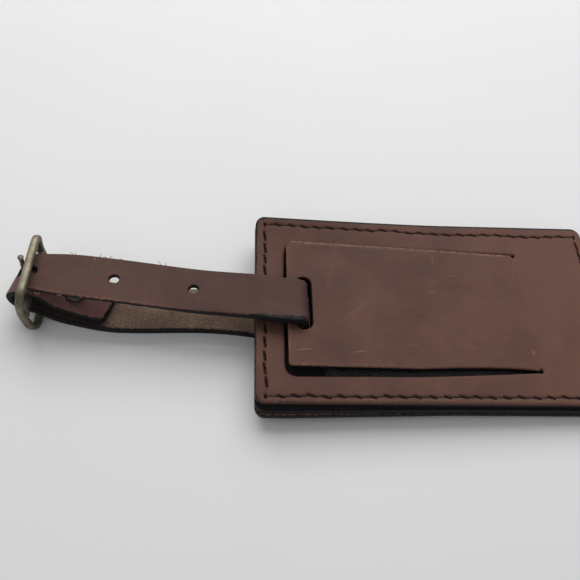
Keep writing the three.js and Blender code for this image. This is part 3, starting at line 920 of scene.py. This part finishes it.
def flap_outline():
    """The flap's cut edge from hole to hole, closed by the hinge line."""
    far, near = STOP_HOLES
    r = STOP_HOLE_RADIUS
    leave = (far[0] - r * 0.86, far[1] + r * 0.5)
    arrive = (near[0] - r * 0.94, near[1] + r * 0.2)
    return np.vstack([
        line((HINGE_X, near[1] + r), (HINGE_X, far[1] - r), 0.8),
        arc(far, r, -90, -210, 0.15),
        line(leave, (60, 23.42)),
        line((60, 23.42), (FLAP_CORNER_X, 24.4)),
        bow((FLAP_CORNER_X, 24.4), (FLAP_END_X, 24.4), (FLAP_END_X, 21.1)),
        line((FLAP_END_X, 21.1), (FLAP_END_X, -21.8)),
        bow((FLAP_END_X, -21.8), (FLAP_END_X, FLAP_NEAR_Y), (FLAP_END_X + 1.4, FLAP_NEAR_Y), 0.2),
        line((FLAP_END_X + 1.4, FLAP_NEAR_Y), (HINGE_X - 38, FLAP_NEAR_Y)),
        bow((HINGE_X - 38, FLAP_NEAR_Y), (HINGE_X - 10, -21.5), arrive, 0.5),
        arc(near, r, 168, 90, 0.15),
    ])


def on_hinge(points):
    """True on the hinge line, where the flap and the panel are one leather and have no cut edge."""
    return (np.abs(points[:, 0] - HINGE_X) < 1e-4) & (np.abs(points[:, 1]) < 22.5)


def stitch_nodes(seed):
    """The stitch holes round the body, a little uneven, as a closed run of points."""
    half = BODY_WIDTH / 2 - STITCH_INSET
    corners = [(STITCH_INSET, half), (STITCH_INSET, -half), (BODY_LENGTH - STITCH_INSET, -half),
               (BODY_LENGTH - STITCH_INSET, half)]
    nodes = []
    for a, b in zip(corners, corners[1:] + corners[:1]):
        a, b = np.array(a), np.array(b)
        count = round(float(np.linalg.norm(b - a)) / STITCH_PITCH)
        nodes += [a + (b - a) * i / count for i in range(count)]
    nodes = np.array(nodes)
    far = np.clip((nodes[:, 1] + half) / (2 * half), 0, 1) ** 6
    nodes[:, 1] -= far * np.interp(nodes[:, 0], FAR_SEAM_XS, FAR_SEAM_DROPS)
    flat = level(nodes)
    drift = np.column_stack([wander(flat, 0.16, seed), wander(flat, 0.16, seed + 1)]) * 0.5
    return nodes + drift


def slits(nodes):
    """Both ends of each stitch hole, which is a short cut aslant the seam, some longer than others."""
    size = 1 + 0.35 * wander(level(nodes), 0.7, 6.0)[:, None]
    x, y = nodes[:, :1], nodes[:, 1:]
    on_side = (x < STITCH_INSET + 1) | (x > BODY_LENGTH - STITCH_INSET - 1)
    at_corner = on_side & (np.abs(y) > BODY_WIDTH / 2 - STITCH_INSET - 2.2)
    reach = np.where(on_side, SIDE_SLIT, SLIT) * np.where(at_corner, 0.25, size)
    return nodes - reach, nodes + reach


def stitched_relief(nodes, depth):
    """The groove that the thread pulls into the leather, deeper at each hole."""
    ends = np.roll(nodes, -1, 0)

    def relief(points):
        groove = segment_distance(points, nodes, ends)
        slit = segment_distance(points, *slits(nodes))
        swell = wander(level(points), 0.06, 5.0) * 0.09
        return swell - depth * np.exp(-(groove / 0.5) ** 2) - 0.7 * np.exp(-(slit / 0.3) ** 4)

    return relief


def ink_width(flat):
    """How far the edge ink reaches over the face: wide at the far edge, none at the near one or the slit."""
    x, y = flat[:, 0], flat[:, 1]
    half = BODY_WIDTH / 2
    sides = np.array([half - y, y + half, x, BODY_LENGTH - x])
    left = 0.1 + 0.5 * np.clip((y - 5) / 25, 0, 1)
    widths = np.array([np.full(len(x), 1.0), np.full(len(x), -0.25), left, np.full(len(x), 0.5)])
    reach = np.choose(sides.argmin(0), widths) + 0.1 * wander(flat * (1, 1, 0), 0.3, 7.0)
    return np.where(sides.min(0) < STITCH_INSET, reach, -0.25)


def body_marks(nodes=None, wear_and_highlight=None):
    """Attributes of a body sheet: painted shade in the stitch holes and along the thread groove,
    and stretches of edge lightened for wear and as a painted highlight.
    """
    def marks(flat):
        grime_and_shade = np.zeros(len(flat))
        ink = np.full(len(flat), -0.2)
        if nodes is not None:
            # Painted shade: the stitch holes are painted black and the thread groove a little darker.
            slit = segment_distance(flat[:, :2], *slits(nodes))
            groove = segment_distance(flat[:, :2], nodes, np.roll(nodes, -1, 0))
            grime_and_shade = np.maximum(np.exp(-(slit / 0.4) ** 4), np.exp(-(groove / 0.35) ** 2) * 0.15)
            ink = ink_width(flat)
        return {"grime_and_shade": grime_and_shade, "ink": ink, "wear_and_highlight": wear_and_highlight(flat) if wear_and_highlight else np.zeros(len(flat))}

    return marks


def panel_edge_wear_and_highlight(flat):
    """The near edge is rolled over and lightened, for wear and as a painted highlight on the roll."""
    return 0.3 * np.exp(-((flat[:, 1] + BODY_WIDTH / 2 - 1.3) / 0.5) ** 2) * (flat[:, 2] > 0.3)


def flap_edge_wear_and_highlight(flat):
    """The flap's far, near and left edges are lightened, for wear and as a painted highlight along them."""
    x, y = flat[:, 0], flat[:, 1]
    edge = np.interp(x, (FLAP_END_X, HINGE_X), (24.3, 22.2))
    far = 0.8 * np.exp(-((y - edge + 0.15) / 0.4) ** 2) * (x < HINGE_X - 3)
    near = np.exp(-((y + 23.0) / 0.4) ** 2) * 0.45
    left = np.exp(-((x - FLAP_END_X) / 0.4) ** 2) * 0.45
    return np.clip(np.maximum(np.maximum(far, near), left), 0, 1) * (flat[:, 2] > 0.3)


def thread_piece(name, nodes, face, outward, material):
    """Saddle stitches: each thread leaves one hole, crowns and dives into the next, a little aslant."""
    parts = []
    after = np.roll(nodes, -1, 0)
    for i, (a, b) in enumerate(zip(nodes, after)):
        along = (b - a) / np.linalg.norm(b - a)
        across = np.array([-along[1], along[0]])
        pitch = float(np.linalg.norm(b - a))
        slant = 0.16 + 0.05 * math.sin(i * 2.3)
        in_long_row = abs(along[0]) > 0.5
        crown = (-0.2 if in_long_row else -0.4) + 0.05 * math.sin(i * 1.7)
        # Along the seam, share of the slant, and height over the leather.
        rows = ((0.1, -1.0, -1.0), (0.3, -0.95, -0.5), (0.7, -0.8, -0.2), (pitch * 0.32, -0.35, crown),
                (pitch * 0.5, 0, crown + 0.03), (pitch * 0.68, 0.35, crown), (pitch - 0.7, 0.8, -0.2),
                (pitch - 0.3, 0.95, -0.5), (pitch - 0.1, 1.0, -1.0))
        path = catmull([(*(a + along * u + across * slant * v), face + outward * (w - THREAD_RADIUS * 0.5))
                        for u, v, w in rows], 2)
        rings = sweep_rings(path, (*across, 0), THREAD_RADIUS * 1.08, THREAD_RADIUS * 0.9, sides=10,
                            lobes=3, twist=0.7)
        parts.append(skin(rings))
    verts, faces = join_parts(parts)
    return make_mesh(name, body_place(0, 0)(verts), faces, [material])


def make_body(materials):
    grain, panel_grain, edge, flesh = (materials[k] for k in ("flap", "panel", "edge", "flesh"))
    nodes = stitch_nodes(1.0)
    stitched = (lambda p: segment_distance(p, nodes, np.roll(nodes, -1, 0)), 1.1, 0.27)
    front = leather_sheet(
        "front_panel_leather", [body_outline(left=0.4, near=-0.6), opening_outline()],
        FRONT_TOP - FRONT_BOTTOM, body_place(FRONT_BOTTOM, FRONT_TOP), [panel_grain, edge, flesh],
        spacing=1.1, top_round=0.8, low_round=0.1, relief=stitched_relief(nodes, 0.22), fine=stitched,
        seam=on_hinge, marks=body_marks(nodes, panel_edge_wear_and_highlight),
    )
    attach(front, "tag_body")
    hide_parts("front_panel")

    back_nodes = stitch_nodes(4.0)
    back_fine = (lambda p: segment_distance(p, back_nodes, np.roll(back_nodes, -1, 0)), 1.3, 0.36)
    back_relief = stitched_relief(back_nodes, 0.32)
    back = leather_sheet(
        "back_panel_leather", [body_outline(left=0.5, near=0.3, splay=1.2), slot_outline()], BACK_TOP,
        body_place(0, BACK_TOP), [flesh, edge, panel_grain], spacing=1.4, top_round=0.1, low_round=0.8,
        low_relief=lambda p: -back_relief(p), fine=back_fine, marks=body_marks(back_nodes),
    )
    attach(back, "tag_body")
    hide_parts("back_panel")

    left, right, half = POCKET
    pocket = rounded_box(left, right, -half, half, 1.0, 0.8)
    filler = leather_sheet(
        "filler_leather", [body_outline(left=0.5, near=0.1, splay=0.7), slot_outline(), pocket],
        FILLER_TOP - FILLER_BOTTOM, body_place(FILLER_BOTTOM, FILLER_TOP), [materials["inner"], edge, flesh],
        spacing=2.2, top_round=0.1, low_round=0.1, bulge=0.04, marks=body_marks(),
    )
    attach(filler, "tag_body")
    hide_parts("filler_frame")

    left, right, half = FILM
    film = leather_sheet(
        "clear_window_film", [rounded_box(left, right, -half, half, 1.5, 1.0)], FILM_TOP - FILM_BOTTOM,
        body_place(FILM_BOTTOM, FILM_TOP), [materials["film"]] * 3, spacing=3.0, top_round=0.08,
        low_round=0.08, fray=0, relief=lambda p: wander(level(p), 0.05, 8.0) * 0.03,
    )
    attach(film, "tag_body")
    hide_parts("clear_window")

    left, right, half = CARD
    card = leather_sheet(
        "id_card_stock", [rounded_box(left, right, -half, half, 3.2, 1.0)], CARD_THICKNESS,
        body_place(CARD_BOTTOM, CARD_BOTTOM + CARD_THICKNESS), [materials["card"]] * 3, spacing=3.0,
        top_round=0.14, low_round=0.14, relief=lambda p: wander(level(p), 0.04, 9.0) * 0.04, fray=0.01,
    )
    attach(card, "card")
    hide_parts("id_card")

    flap = leather_sheet(
        "flap_leather", [flap_outline(), slot_outline()], FLAP_THICKNESS, flap_place, [grain, edge, flesh],
        spacing=0.95, top_round=0.42, low_round=0.25, seam=on_hinge, fray=0.09,
        marks=body_marks(wear_and_highlight=flap_edge_wear_and_highlight), relief=lambda p: wander(level(p), 0.06, 5.0) * 0.09,
    )
    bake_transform(flap)
    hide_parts("flap")

    thread = materials["thread"]
    front_stitches = thread_piece("front_stitches", nodes, FRONT_TOP, 1, thread)
    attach(front_stitches, "tag_body")
    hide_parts("front_thread")
    back_stitches = thread_piece("back_stitches", back_nodes, 0.0, -1, thread)
    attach(back_stitches, "tag_body")
    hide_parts("back_thread")


# ---- The strap ----
def strap_marks(grime_and_shade, wear_and_highlight=None, ink=None):
    """Attributes of a strap sheet. The edge ink is a thin line unless ink() says otherwise."""
    def marks(flat):
        rub_and_highlight = wear_and_highlight(flat) if wear_and_highlight else np.zeros(len(flat))
        inked = ink(flat) if ink else np.full(len(flat), 0.1)
        return {"grime_and_shade": grime_and_shade(flat), "ink": inked, "wear_and_highlight": rub_and_highlight}

    return marks


def make_strap_lower(materials):
    route = lower_route()
    half = STRAP_WIDTH / 2
    end = route.length
    # The tab's end is cut aslant, its near corner is rounded, and its near edge lies back from the strap's.
    slant, corner, set_back = 2.6, 1.3, 1.3
    tab_start = route.at(-66.0, 0.75, 1.0)
    tab_near = -half + set_back
    outline = np.vstack([
        line((0, -half), (tab_start - 8, -half), EDGE_STEP),
        line((tab_start - 8, -half), (tab_start + 4, tab_near), EDGE_STEP),
        line((tab_start + 4, tab_near), (end - slant - corner, tab_near), EDGE_STEP),
        bow((end - slant - corner, tab_near), (end - slant, tab_near),
            (end - slant * 0.88, tab_near + corner), 0.3),
        line((end - slant * 0.88, tab_near + corner), (end, half - 1.2), EDGE_STEP),
        bow((end, half - 1.2), (end, half), (end - 1.2, half), 0.3),
        line((end - 1.2, half), (0, half), EDGE_STEP),
        line((0, half), (0, -half), EDGE_STEP),
    ])
    turn = route.at(FOLD_X - FOLD_RADIUS, 0.4, 0.8) / route.length
    first = route.at(PRONG_SLOT_START_X + 0.6, turn, 0.85)
    last = route.at(PRONG_SLOT_END_X, turn, 1.0)
    prong_y = BUCKLE[1] + PRONG_OFFSET

    def slot_middle(s):
        return prong_y - np.interp(np.interp(s, route.s, route.x), route.plan_x, route.plan_y)

    run = np.linspace(first + PRONG_SLOT_HALF, last - PRONG_SLOT_HALF, 50)
    ends = [(run[0], slot_middle(run[0])), (run[-1], slot_middle(run[-1]))]
    slot = np.vstack([
        np.column_stack([run, slot_middle(run) - PRONG_SLOT_HALF]),
        arc(ends[1], PRONG_SLOT_HALF, -85, 90),
        np.column_stack([run, slot_middle(run) + PRONG_SLOT_HALF])[::-1],
        arc(ends[0], PRONG_SLOT_HALF, 95, 270),
    ])
    tab_rivet = (route.at(RIVET_X, 0.8, 1.0), 0.0)
    low_rivet = (route.at(RIVET_X, 0.3, 0.7), 0.0)

    def grain_relief(points):
        """The leather gives way round the rivet's cap, and is sunk where the rivet's base sits."""
        tab = np.linalg.norm(points - tab_rivet, axis=1)
        under = np.linalg.norm(points - low_rivet, axis=1)
        press = 0.28 * np.exp(-np.maximum(tab - 3.2, 0) ** 2 / 1.2)
        sink = 0.5 / (1 + np.exp((under - 3.7) / 0.12))
        swell = wander(level(points), 0.09, 6.0) * 0.05
        return swell - press - sink

    def flesh_relief(points):
        spots = level(points)
        return 0.06 * wander(spots, 1.3, 2.0) + 0.04 * wander(spots, 0.5, 4.0)

    def grime_and_shade(flat):
        """The fold is darkened, and the flesh side under the tab is darkened as painted shade."""
        fold = route.at(FOLD_X - FOLD_RADIUS, 0.4, 1.0)
        # The fold is darkened on both faces.
        darkening = 0.35 * np.exp(-((flat[:, 0] - fold) / 4.0) ** 2)
        x = np.interp(flat[:, 0], route.s, route.x)
        # Painted shade: the flesh faces between the tab and the run below it, inside the fold too, go nearly
        # black.
        covered = np.clip((TAB_END_X - 1.0 - x) / 2.5, 0, 1) * (flat[:, 2] < 0)
        return np.maximum(darkening, 0.88 * covered)

    piece = leather_sheet(
        "strap_lower_leather", [outline, slot], STRAP_THICKNESS, route.place,
        [materials["strap_grain_painted_light"], materials["strap_edge"], materials["strap_flesh"]], spacing=0.7,
        top_round=0.45, low_round=0.3, relief=grain_relief, low_relief=flesh_relief, fray=0.1,
        marks=strap_marks(grime_and_shade),
    )
    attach(piece, "tag_body")
    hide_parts("strap_lower")
    return route


def make_strap_upper(materials):
    route = upper_route()
    end = route.length

    def half_at(s):
        x = np.interp(s, route.s, route.x)
        taper = np.clip((TAPER_START_X - x) / (TAPER_START_X - STRAP_END_X), 0, 1)
        return STRAP_WIDTH / 2 * (1 - (1 - TAPER_END_SCALE) * taper**2)

    run = np.linspace(0, end, round(end / EDGE_STEP))
    outline = np.vstack([
        np.column_stack([run, -half_at(run)])[:-1],
        line((end, -half_at(end)), (end, half_at(end)), EDGE_STEP),
        np.column_stack([run, half_at(run)])[::-1][:-1],
        line((0, half_at(0)), (0, -half_at(0)), EDGE_STEP),
    ])
    holes = [arc((route.at(x, 0.2), 0.0), HOLE_RADIUS, 0, 360, 0.22) for x in HOLE_XS]

    def swell(points):
        return wander(level(points), 0.08, 7.0) * 0.06

    def flesh_relief(points):
        return 0.07 * wander(level(points), 1.2, 2.0)

    def wear_and_highlight(flat):
        """The near edge is lightened from its middle to the buckle, for wear and as a painted highlight."""
        x = np.interp(flat[:, 0], route.s, route.x)
        from_edge = flat[:, 1] + half_at(flat[:, 0])
        return 0.75 * np.clip((-18 - x) / 12, 0, 1) * np.exp(-((from_edge - 0.1) / 0.3) ** 2)

    def grime_and_shade(flat):
        """Darker beside the body, and round each hole."""
        x = np.interp(flat[:, 0], route.s, route.x)
        darkening = 0.22 * np.exp(-((x + 8) / 9) ** 2)
        for hole_x in HOLE_XS:
            gap = np.hypot(flat[:, 0] - route.at(hole_x, 0.2), flat[:, 1]) - HOLE_RADIUS
            darkening = np.maximum(darkening, 0.7 * np.exp(-(np.maximum(gap, 0) / 0.35) ** 2))
        return darkening

    def ink(flat):
        """The near edge is rough and dark where the strap bends down into the slot."""
        x = np.interp(flat[:, 0], route.s, route.x)
        band = np.interp(x, (-2, 4, 12), (0, 0.9, 1.5)) * (flat[:, 1] < 0)
        return 0.1 + band * (1 + 0.2 * wander(flat * (1, 1, 0), 0.6, 3.0))

    def lay(flat):
        """Lays the run thinner towards its end. Its grain faces up, which is the sheet's low side."""
        x = np.interp(flat[:, 0], route.s, route.x)
        share = 1 - (1 - UPPER_THINNING) * np.clip((4 - x) / 30, 0, 1)
        height = (flat[:, 2] + UPPER_THICKNESS / 2) * share - STRAP_THICKNESS / 2
        return route.place(np.column_stack([flat[:, :2], height]))

    piece = leather_sheet(
        "strap_upper_leather", [outline] + holes, UPPER_THICKNESS, lay,
        [materials["strap_flesh"], materials["strap_edge"], materials["strap_top"]], spacing=0.7,
        top_round=0.3, low_round=0.45, relief=flesh_relief, low_relief=swell, fray=0.1,
        marks=strap_marks(grime_and_shade, wear_and_highlight, ink),
    )
    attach(piece, "strap_end")
    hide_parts("strap_upper")
    return route


def make_fibres(name, roots, body, material, seed):
    """Loose fibres: thin tubes that curl away from their roots (x, y, z, turn in degrees, length)."""
    parts = []
    for i, (x, y, z, turn, length) in enumerate(roots):
        bend = 70 * math.sin(seed + 2.7 * i)
        points, heading = [np.array([x, y, z])], math.radians(turn)
        for k in range(10):
            heading += math.radians(bend) / 5 * (1 + 0.5 * math.sin(i + k))
            step = np.array([math.cos(heading), math.sin(heading), 0.35 * math.sin(0.8 * k + i)])
            points.append(points[-1] + step * length / 10)
        width = np.linspace(0.13, 0.07, len(points))
        parts.append(skin(sweep_rings(points, (0, 0.1, 1), width, width, 6)))
    verts, faces = join_parts(parts)
    piece = make_mesh(name, verts, faces, [material])
    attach(piece, body)


# Fibres on the upper run's far and near edges: (x, turn in degrees, length).
FAR_FIBRES = (
    (-59, 70, 1.3), (-58, 120, 0.9), (-51.4, 250, 5.0), (-50.4, 60, 2.0), (-49.6, 20, 1.8), (-48, 95, 1.6),
    (-46.8, 140, 1.4), (-43, 80, 1.2), (-42.2, 30, 1.5), (-30.4, 110, 2.4), (-29.4, 60, 1.6),
)
NEAR_FIBRES = (
    (-68.5, -60, 0.9), (-67, -100, 0.8), (-61.5, -70, 1.2), (-60.2, -120, 0.9), (-54.5, -80, 0.7),
    (-48, -60, 0.8),
)


def make_loose_fibres(material, route):
    def roots(fibres, across, lift):
        return [(x, route.plan_at(x) + across, np.interp(-x, -route.x, route.z) + lift, turn, length)
                for x, turn, length in fibres]

    half = STRAP_WIDTH / 2
    far, near = roots(FAR_FIBRES, half - 0.25, 1.2), roots(NEAR_FIBRES, -half * 0.985, 0.7)
    make_fibres("strap_edge_fibres", far, "strap_end", material, 1.0)
    make_fibres("strap_near_fibres", near, "strap_end", material, 3.0)


def rivet_piece(name, profile, centre, node, material, rub_highlight_radius, rub_highlight_width):
    """One turned half of the rivet, lightened in a ring, for wear and as a painted highlight on the rim."""
    verts, faces = revolve(profile)
    rub_and_highlight = np.exp(-((np.hypot(verts[:, 0], verts[:, 1]) - rub_highlight_radius) / rub_highlight_width) ** 2)
    piece = make_mesh(name, verts + np.array(centre), faces, [material], attributes={"wear_and_highlight": rub_and_highlight},
                      sharp=50)
    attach(piece, "tag_body")
    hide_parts(node)


def make_rivet(materials, route):
    """Both halves, from (radius, height) profiles. The cap is pressed a little into the tab."""
    centre = (RIVET_X, route.plan_at(RIVET_X), 0)
    cap_bottom = 5.5 + STRAP_THICKNESS / 2
    cap = [(0, 0.0), (2.6, 0.0), (3.2, 0.05), (3.45, 0.3), (3.5, 0.6), (3.4, 0.95), (3.15, 1.2), (2.8, 1.3),
           (2.45, 1.22), (2.2, 1.0), (2.0, 0.82), (1.5, 0.78), (0.9, 0.86), (0.4, 0.92), (0, 0.94)]
    cap = [(r, z + cap_bottom) for r, z in cap]
    rivet_piece("rivet_cap_metal", cap, centre, "rivet_cap", materials["rivet"], 2.85, 0.45)
    base = [(0, 0.12), (0.8, 0.1), (1.0, 0.2), (1.3, 0.26), (1.9, 0.2), (2.6, 0.12), (3.1, 0.16),
            (3.35, 0.32), (3.4, 0.5), (3.2, 0.66), (2.4, 0.7), (1.2, 0.72), (1.18, 6.7), (0, 6.8)]
    rivet_piece("rivet_base_metal", base, centre, "rivet_base", materials["rivet"], 2.6, 0.7)


# ---- The buckle ----
def buckle_place(points):
    """From the buckle's own axes, with Y along its centre bar, to the tag's."""
    x, y, z = np.asarray(points, float).T
    lean_x = x * math.cos(BUCKLE_LEAN) + z * math.sin(BUCKLE_LEAN)
    lean_z = -x * math.sin(BUCKLE_LEAN) + z * math.cos(BUCKLE_LEAN)
    turn_x = lean_x * math.cos(BUCKLE_YAW) - y * math.sin(BUCKLE_YAW)
    turn_y = lean_x * math.sin(BUCKLE_YAW) + y * math.cos(BUCKLE_YAW)
    return np.column_stack([turn_x, turn_y, lean_z]) + np.array(BUCKLE)


def make_buckle(materials):
    """The cast frame, arched towards the strap, and its centre bar, which thickens where it joins."""
    w, r = BUCKLE_HALF_WIDTH, BUCKLE_CORNER
    loop = np.vstack([
        line((-w + r, BUCKLE_BOTTOM), (w - r, BUCKLE_BOTTOM), 0.6),
        arc((w - r, BUCKLE_BOTTOM + r), r, -90, 0, 0.4),
        line((w, BUCKLE_BOTTOM + r), (w, BUCKLE_TOP - r), 0.6),
        arc((w - r, BUCKLE_TOP - r), r, 0, 90, 0.4),
        line((w - r, BUCKLE_TOP), (-w + r, BUCKLE_TOP), 0.6),
        arc((-w + r, BUCKLE_TOP - r), r, 90, 180, 0.4),
        line((-w, BUCKLE_TOP - r), (-w, BUCKLE_BOTTOM + r), 0.6),
        arc((-w + r, BUCKLE_BOTTOM + r), r, 180, 270, 0.4),
    ])
    path = np.column_stack([np.zeros(len(loop)), loop])
    path[:, 0] += BUCKLE_ARCH * (path[:, 2] / BUCKLE_TOP) ** 2 + 0.1 * wander(path, 0.15, 2.0)
    around = np.vstack([path[-4:], path, path[:4]])
    width = 1.3 + 0.07 * wander(around, 0.3, 1.0)
    rings = sweep_rings(around, (1, 0, 0), width, 1.15, sides=16, power=2.7)[4:-4]
    frame_verts, frame_faces = skin(rings, closed=True)
    bar_y = np.linspace(-w, w, 40)
    bar = np.column_stack([0 * bar_y, bar_y, 0 * bar_y])
    thick = 1.05 + 0.4 * np.exp(-((np.abs(bar_y) - w + 0.6) / 1.3) ** 2)
    bar[:, 0] += 0.3 * np.exp(-((np.abs(bar_y) - w + 0.6) / 1.6) ** 2)
    bar_verts, bar_faces = skin(sweep_rings(bar, (1, 0, 0), thick, thick * 0.95, sides=16))
    verts, faces = join_parts([(frame_verts, frame_faces), (bar_verts, bar_faces)])
    verts = verts + 0.03 * np.column_stack([wander(verts, 0.7, k) for k in (1.0, 2.0, 3.0)])
    # Lightened: the frame's sides by the bar's ends for wear, and the top of the top bar as a painted
    # highlight.
    out = np.clip((np.abs(verts[:, 1]) - w + 0.5) / 1.0, 0, 1)
    high = np.clip((verts[:, 2] - BUCKLE_TOP - 0.3) / 0.8, 0, 1)
    wear_and_highlight = np.clip(np.maximum(out * 0.5, high), 0, 1)
    piece = make_mesh("buckle_frame_brass", buckle_place(verts), faces, [materials["brass"]],
                      attributes={"wear_and_highlight": wear_and_highlight})
    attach(piece, "buckle")
    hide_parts("buckle_frame")


def make_prong(materials):
    """A rod that is flattened and curled round the centre bar, then runs up past the top bar."""
    eye = 1.65
    shaft = catmull([(-1.5, 0.8), (-1.95, 3), (-1.7, 6), (-1.3, 9), (-1.15, 10.35), (-1.05, 10.9)], 8)
    eye_run = arc((0, 0), eye, -180, 150, 0.3)[:-1]
    path = np.vstack([eye_run, shaft])
    path = np.column_stack([path[:, 0], np.zeros(len(path)), path[:, 1]])
    on_shaft = np.arange(len(path)) >= len(eye_run)
    share = np.clip((path[:, 2] - 0.8) / 2.4, 0, 1) * on_shaft
    width = 1.15 * (1 - share) + 0.82 * share
    depth = 0.42 * (1 - share) + 0.72 * share
    tip = np.clip((path[:, 2] - 9.6) / 1.35, 0, 1) ** 2 * on_shaft
    width = width * (1 + 0.3 * tip)
    depth = depth * (1 + 0.35 * tip)
    verts, faces = skin(sweep_rings(path, (0, 1, 0), width, depth, sides=14, power=2.2))
    verts[:, 1] += PRONG_OFFSET
    verts = verts + 0.02 * np.column_stack([wander(verts, 0.8, k) for k in (4.0, 5.0, 6.0)])
    # Painted highlight: the prong's upper end and tip are lightened.
    wear_and_highlight = np.clip((verts[:, 2] - 8.2) / 2.0, 0, 1)
    piece = make_mesh("buckle_prong_brass", buckle_place(verts), faces, [materials["brass"]],
                      attributes={"wear_and_highlight": wear_and_highlight})
    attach(piece, "prong")
    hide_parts("buckle_prong")


# ---- The table ----
def make_table():
    half = 1500.0
    verts = [(-half, -half, 0), (half, -half, 0), (half, half, 0), (-half, half, 0)]
    floor = make_mesh("table", np.array(verts, float) - np.array([0, 0, ORIGIN.z]), [[0, 1, 2, 3]],
                      [table_paint()])


def make_materials():
    body_dark, body_light = (0.079, 0.034, 0.0238), (0.137, 0.063, 0.0445)
    return {
        # The flap and the panel get a painted sheen towards their right ends.
        "flap": grain_leather("flap_grain", body_dark, body_light, SCUFFS, painted_sheen=0.25),
        "panel": grain_leather("panel_grain", body_dark, body_light, painted_sheen=0.35),
        # Painted shade: the filler is near black, standing in for the deep shade seen through the slit.
        "inner": flesh_leather("filler_shade_black", (0.012, 0.01, 0.0095), (0.035, 0.028, 0.025)),
        "edge": edge_leather("body_edge"),
        "flesh": flesh_leather("body_flesh"),
        # Painted light: the lower strap's grain is about twice as light as the same leather on the upper
        # strap, making up for the shade it lies in.
        "strap_grain_painted_light": grain_leather("strap_grain_painted_light", (0.15, 0.076, 0.068), (0.26, 0.135, 0.122)),
        "strap_top": grain_leather("strap_top_grain", (0.064, 0.030, 0.024), (0.120, 0.057, 0.0445),
                                   pebble=0.25),
        "strap_edge": edge_leather("strap_edge", light=(0.05, 0.038, 0.032), rough=0.7, fibre=0.9),
        "strap_flesh": flesh_leather("strap_flesh"),
        "brass": antique_brass(),
        "rivet": rivet_metal(),
        "thread": waxed_thread(),
        "fibre": loose_fibre(),
        "card": card_stock(),
        "film": window_film(),
    }


make_camera()
make_lights()
make_table()
palette = make_materials()
make_body(palette)
lower_strap = make_strap_lower(palette)
upper_strap = make_strap_upper(palette)
make_loose_fibres(palette["fibre"], upper_strap)
make_rivet(palette, lower_strap)
make_buckle(palette)
make_prong(palette)
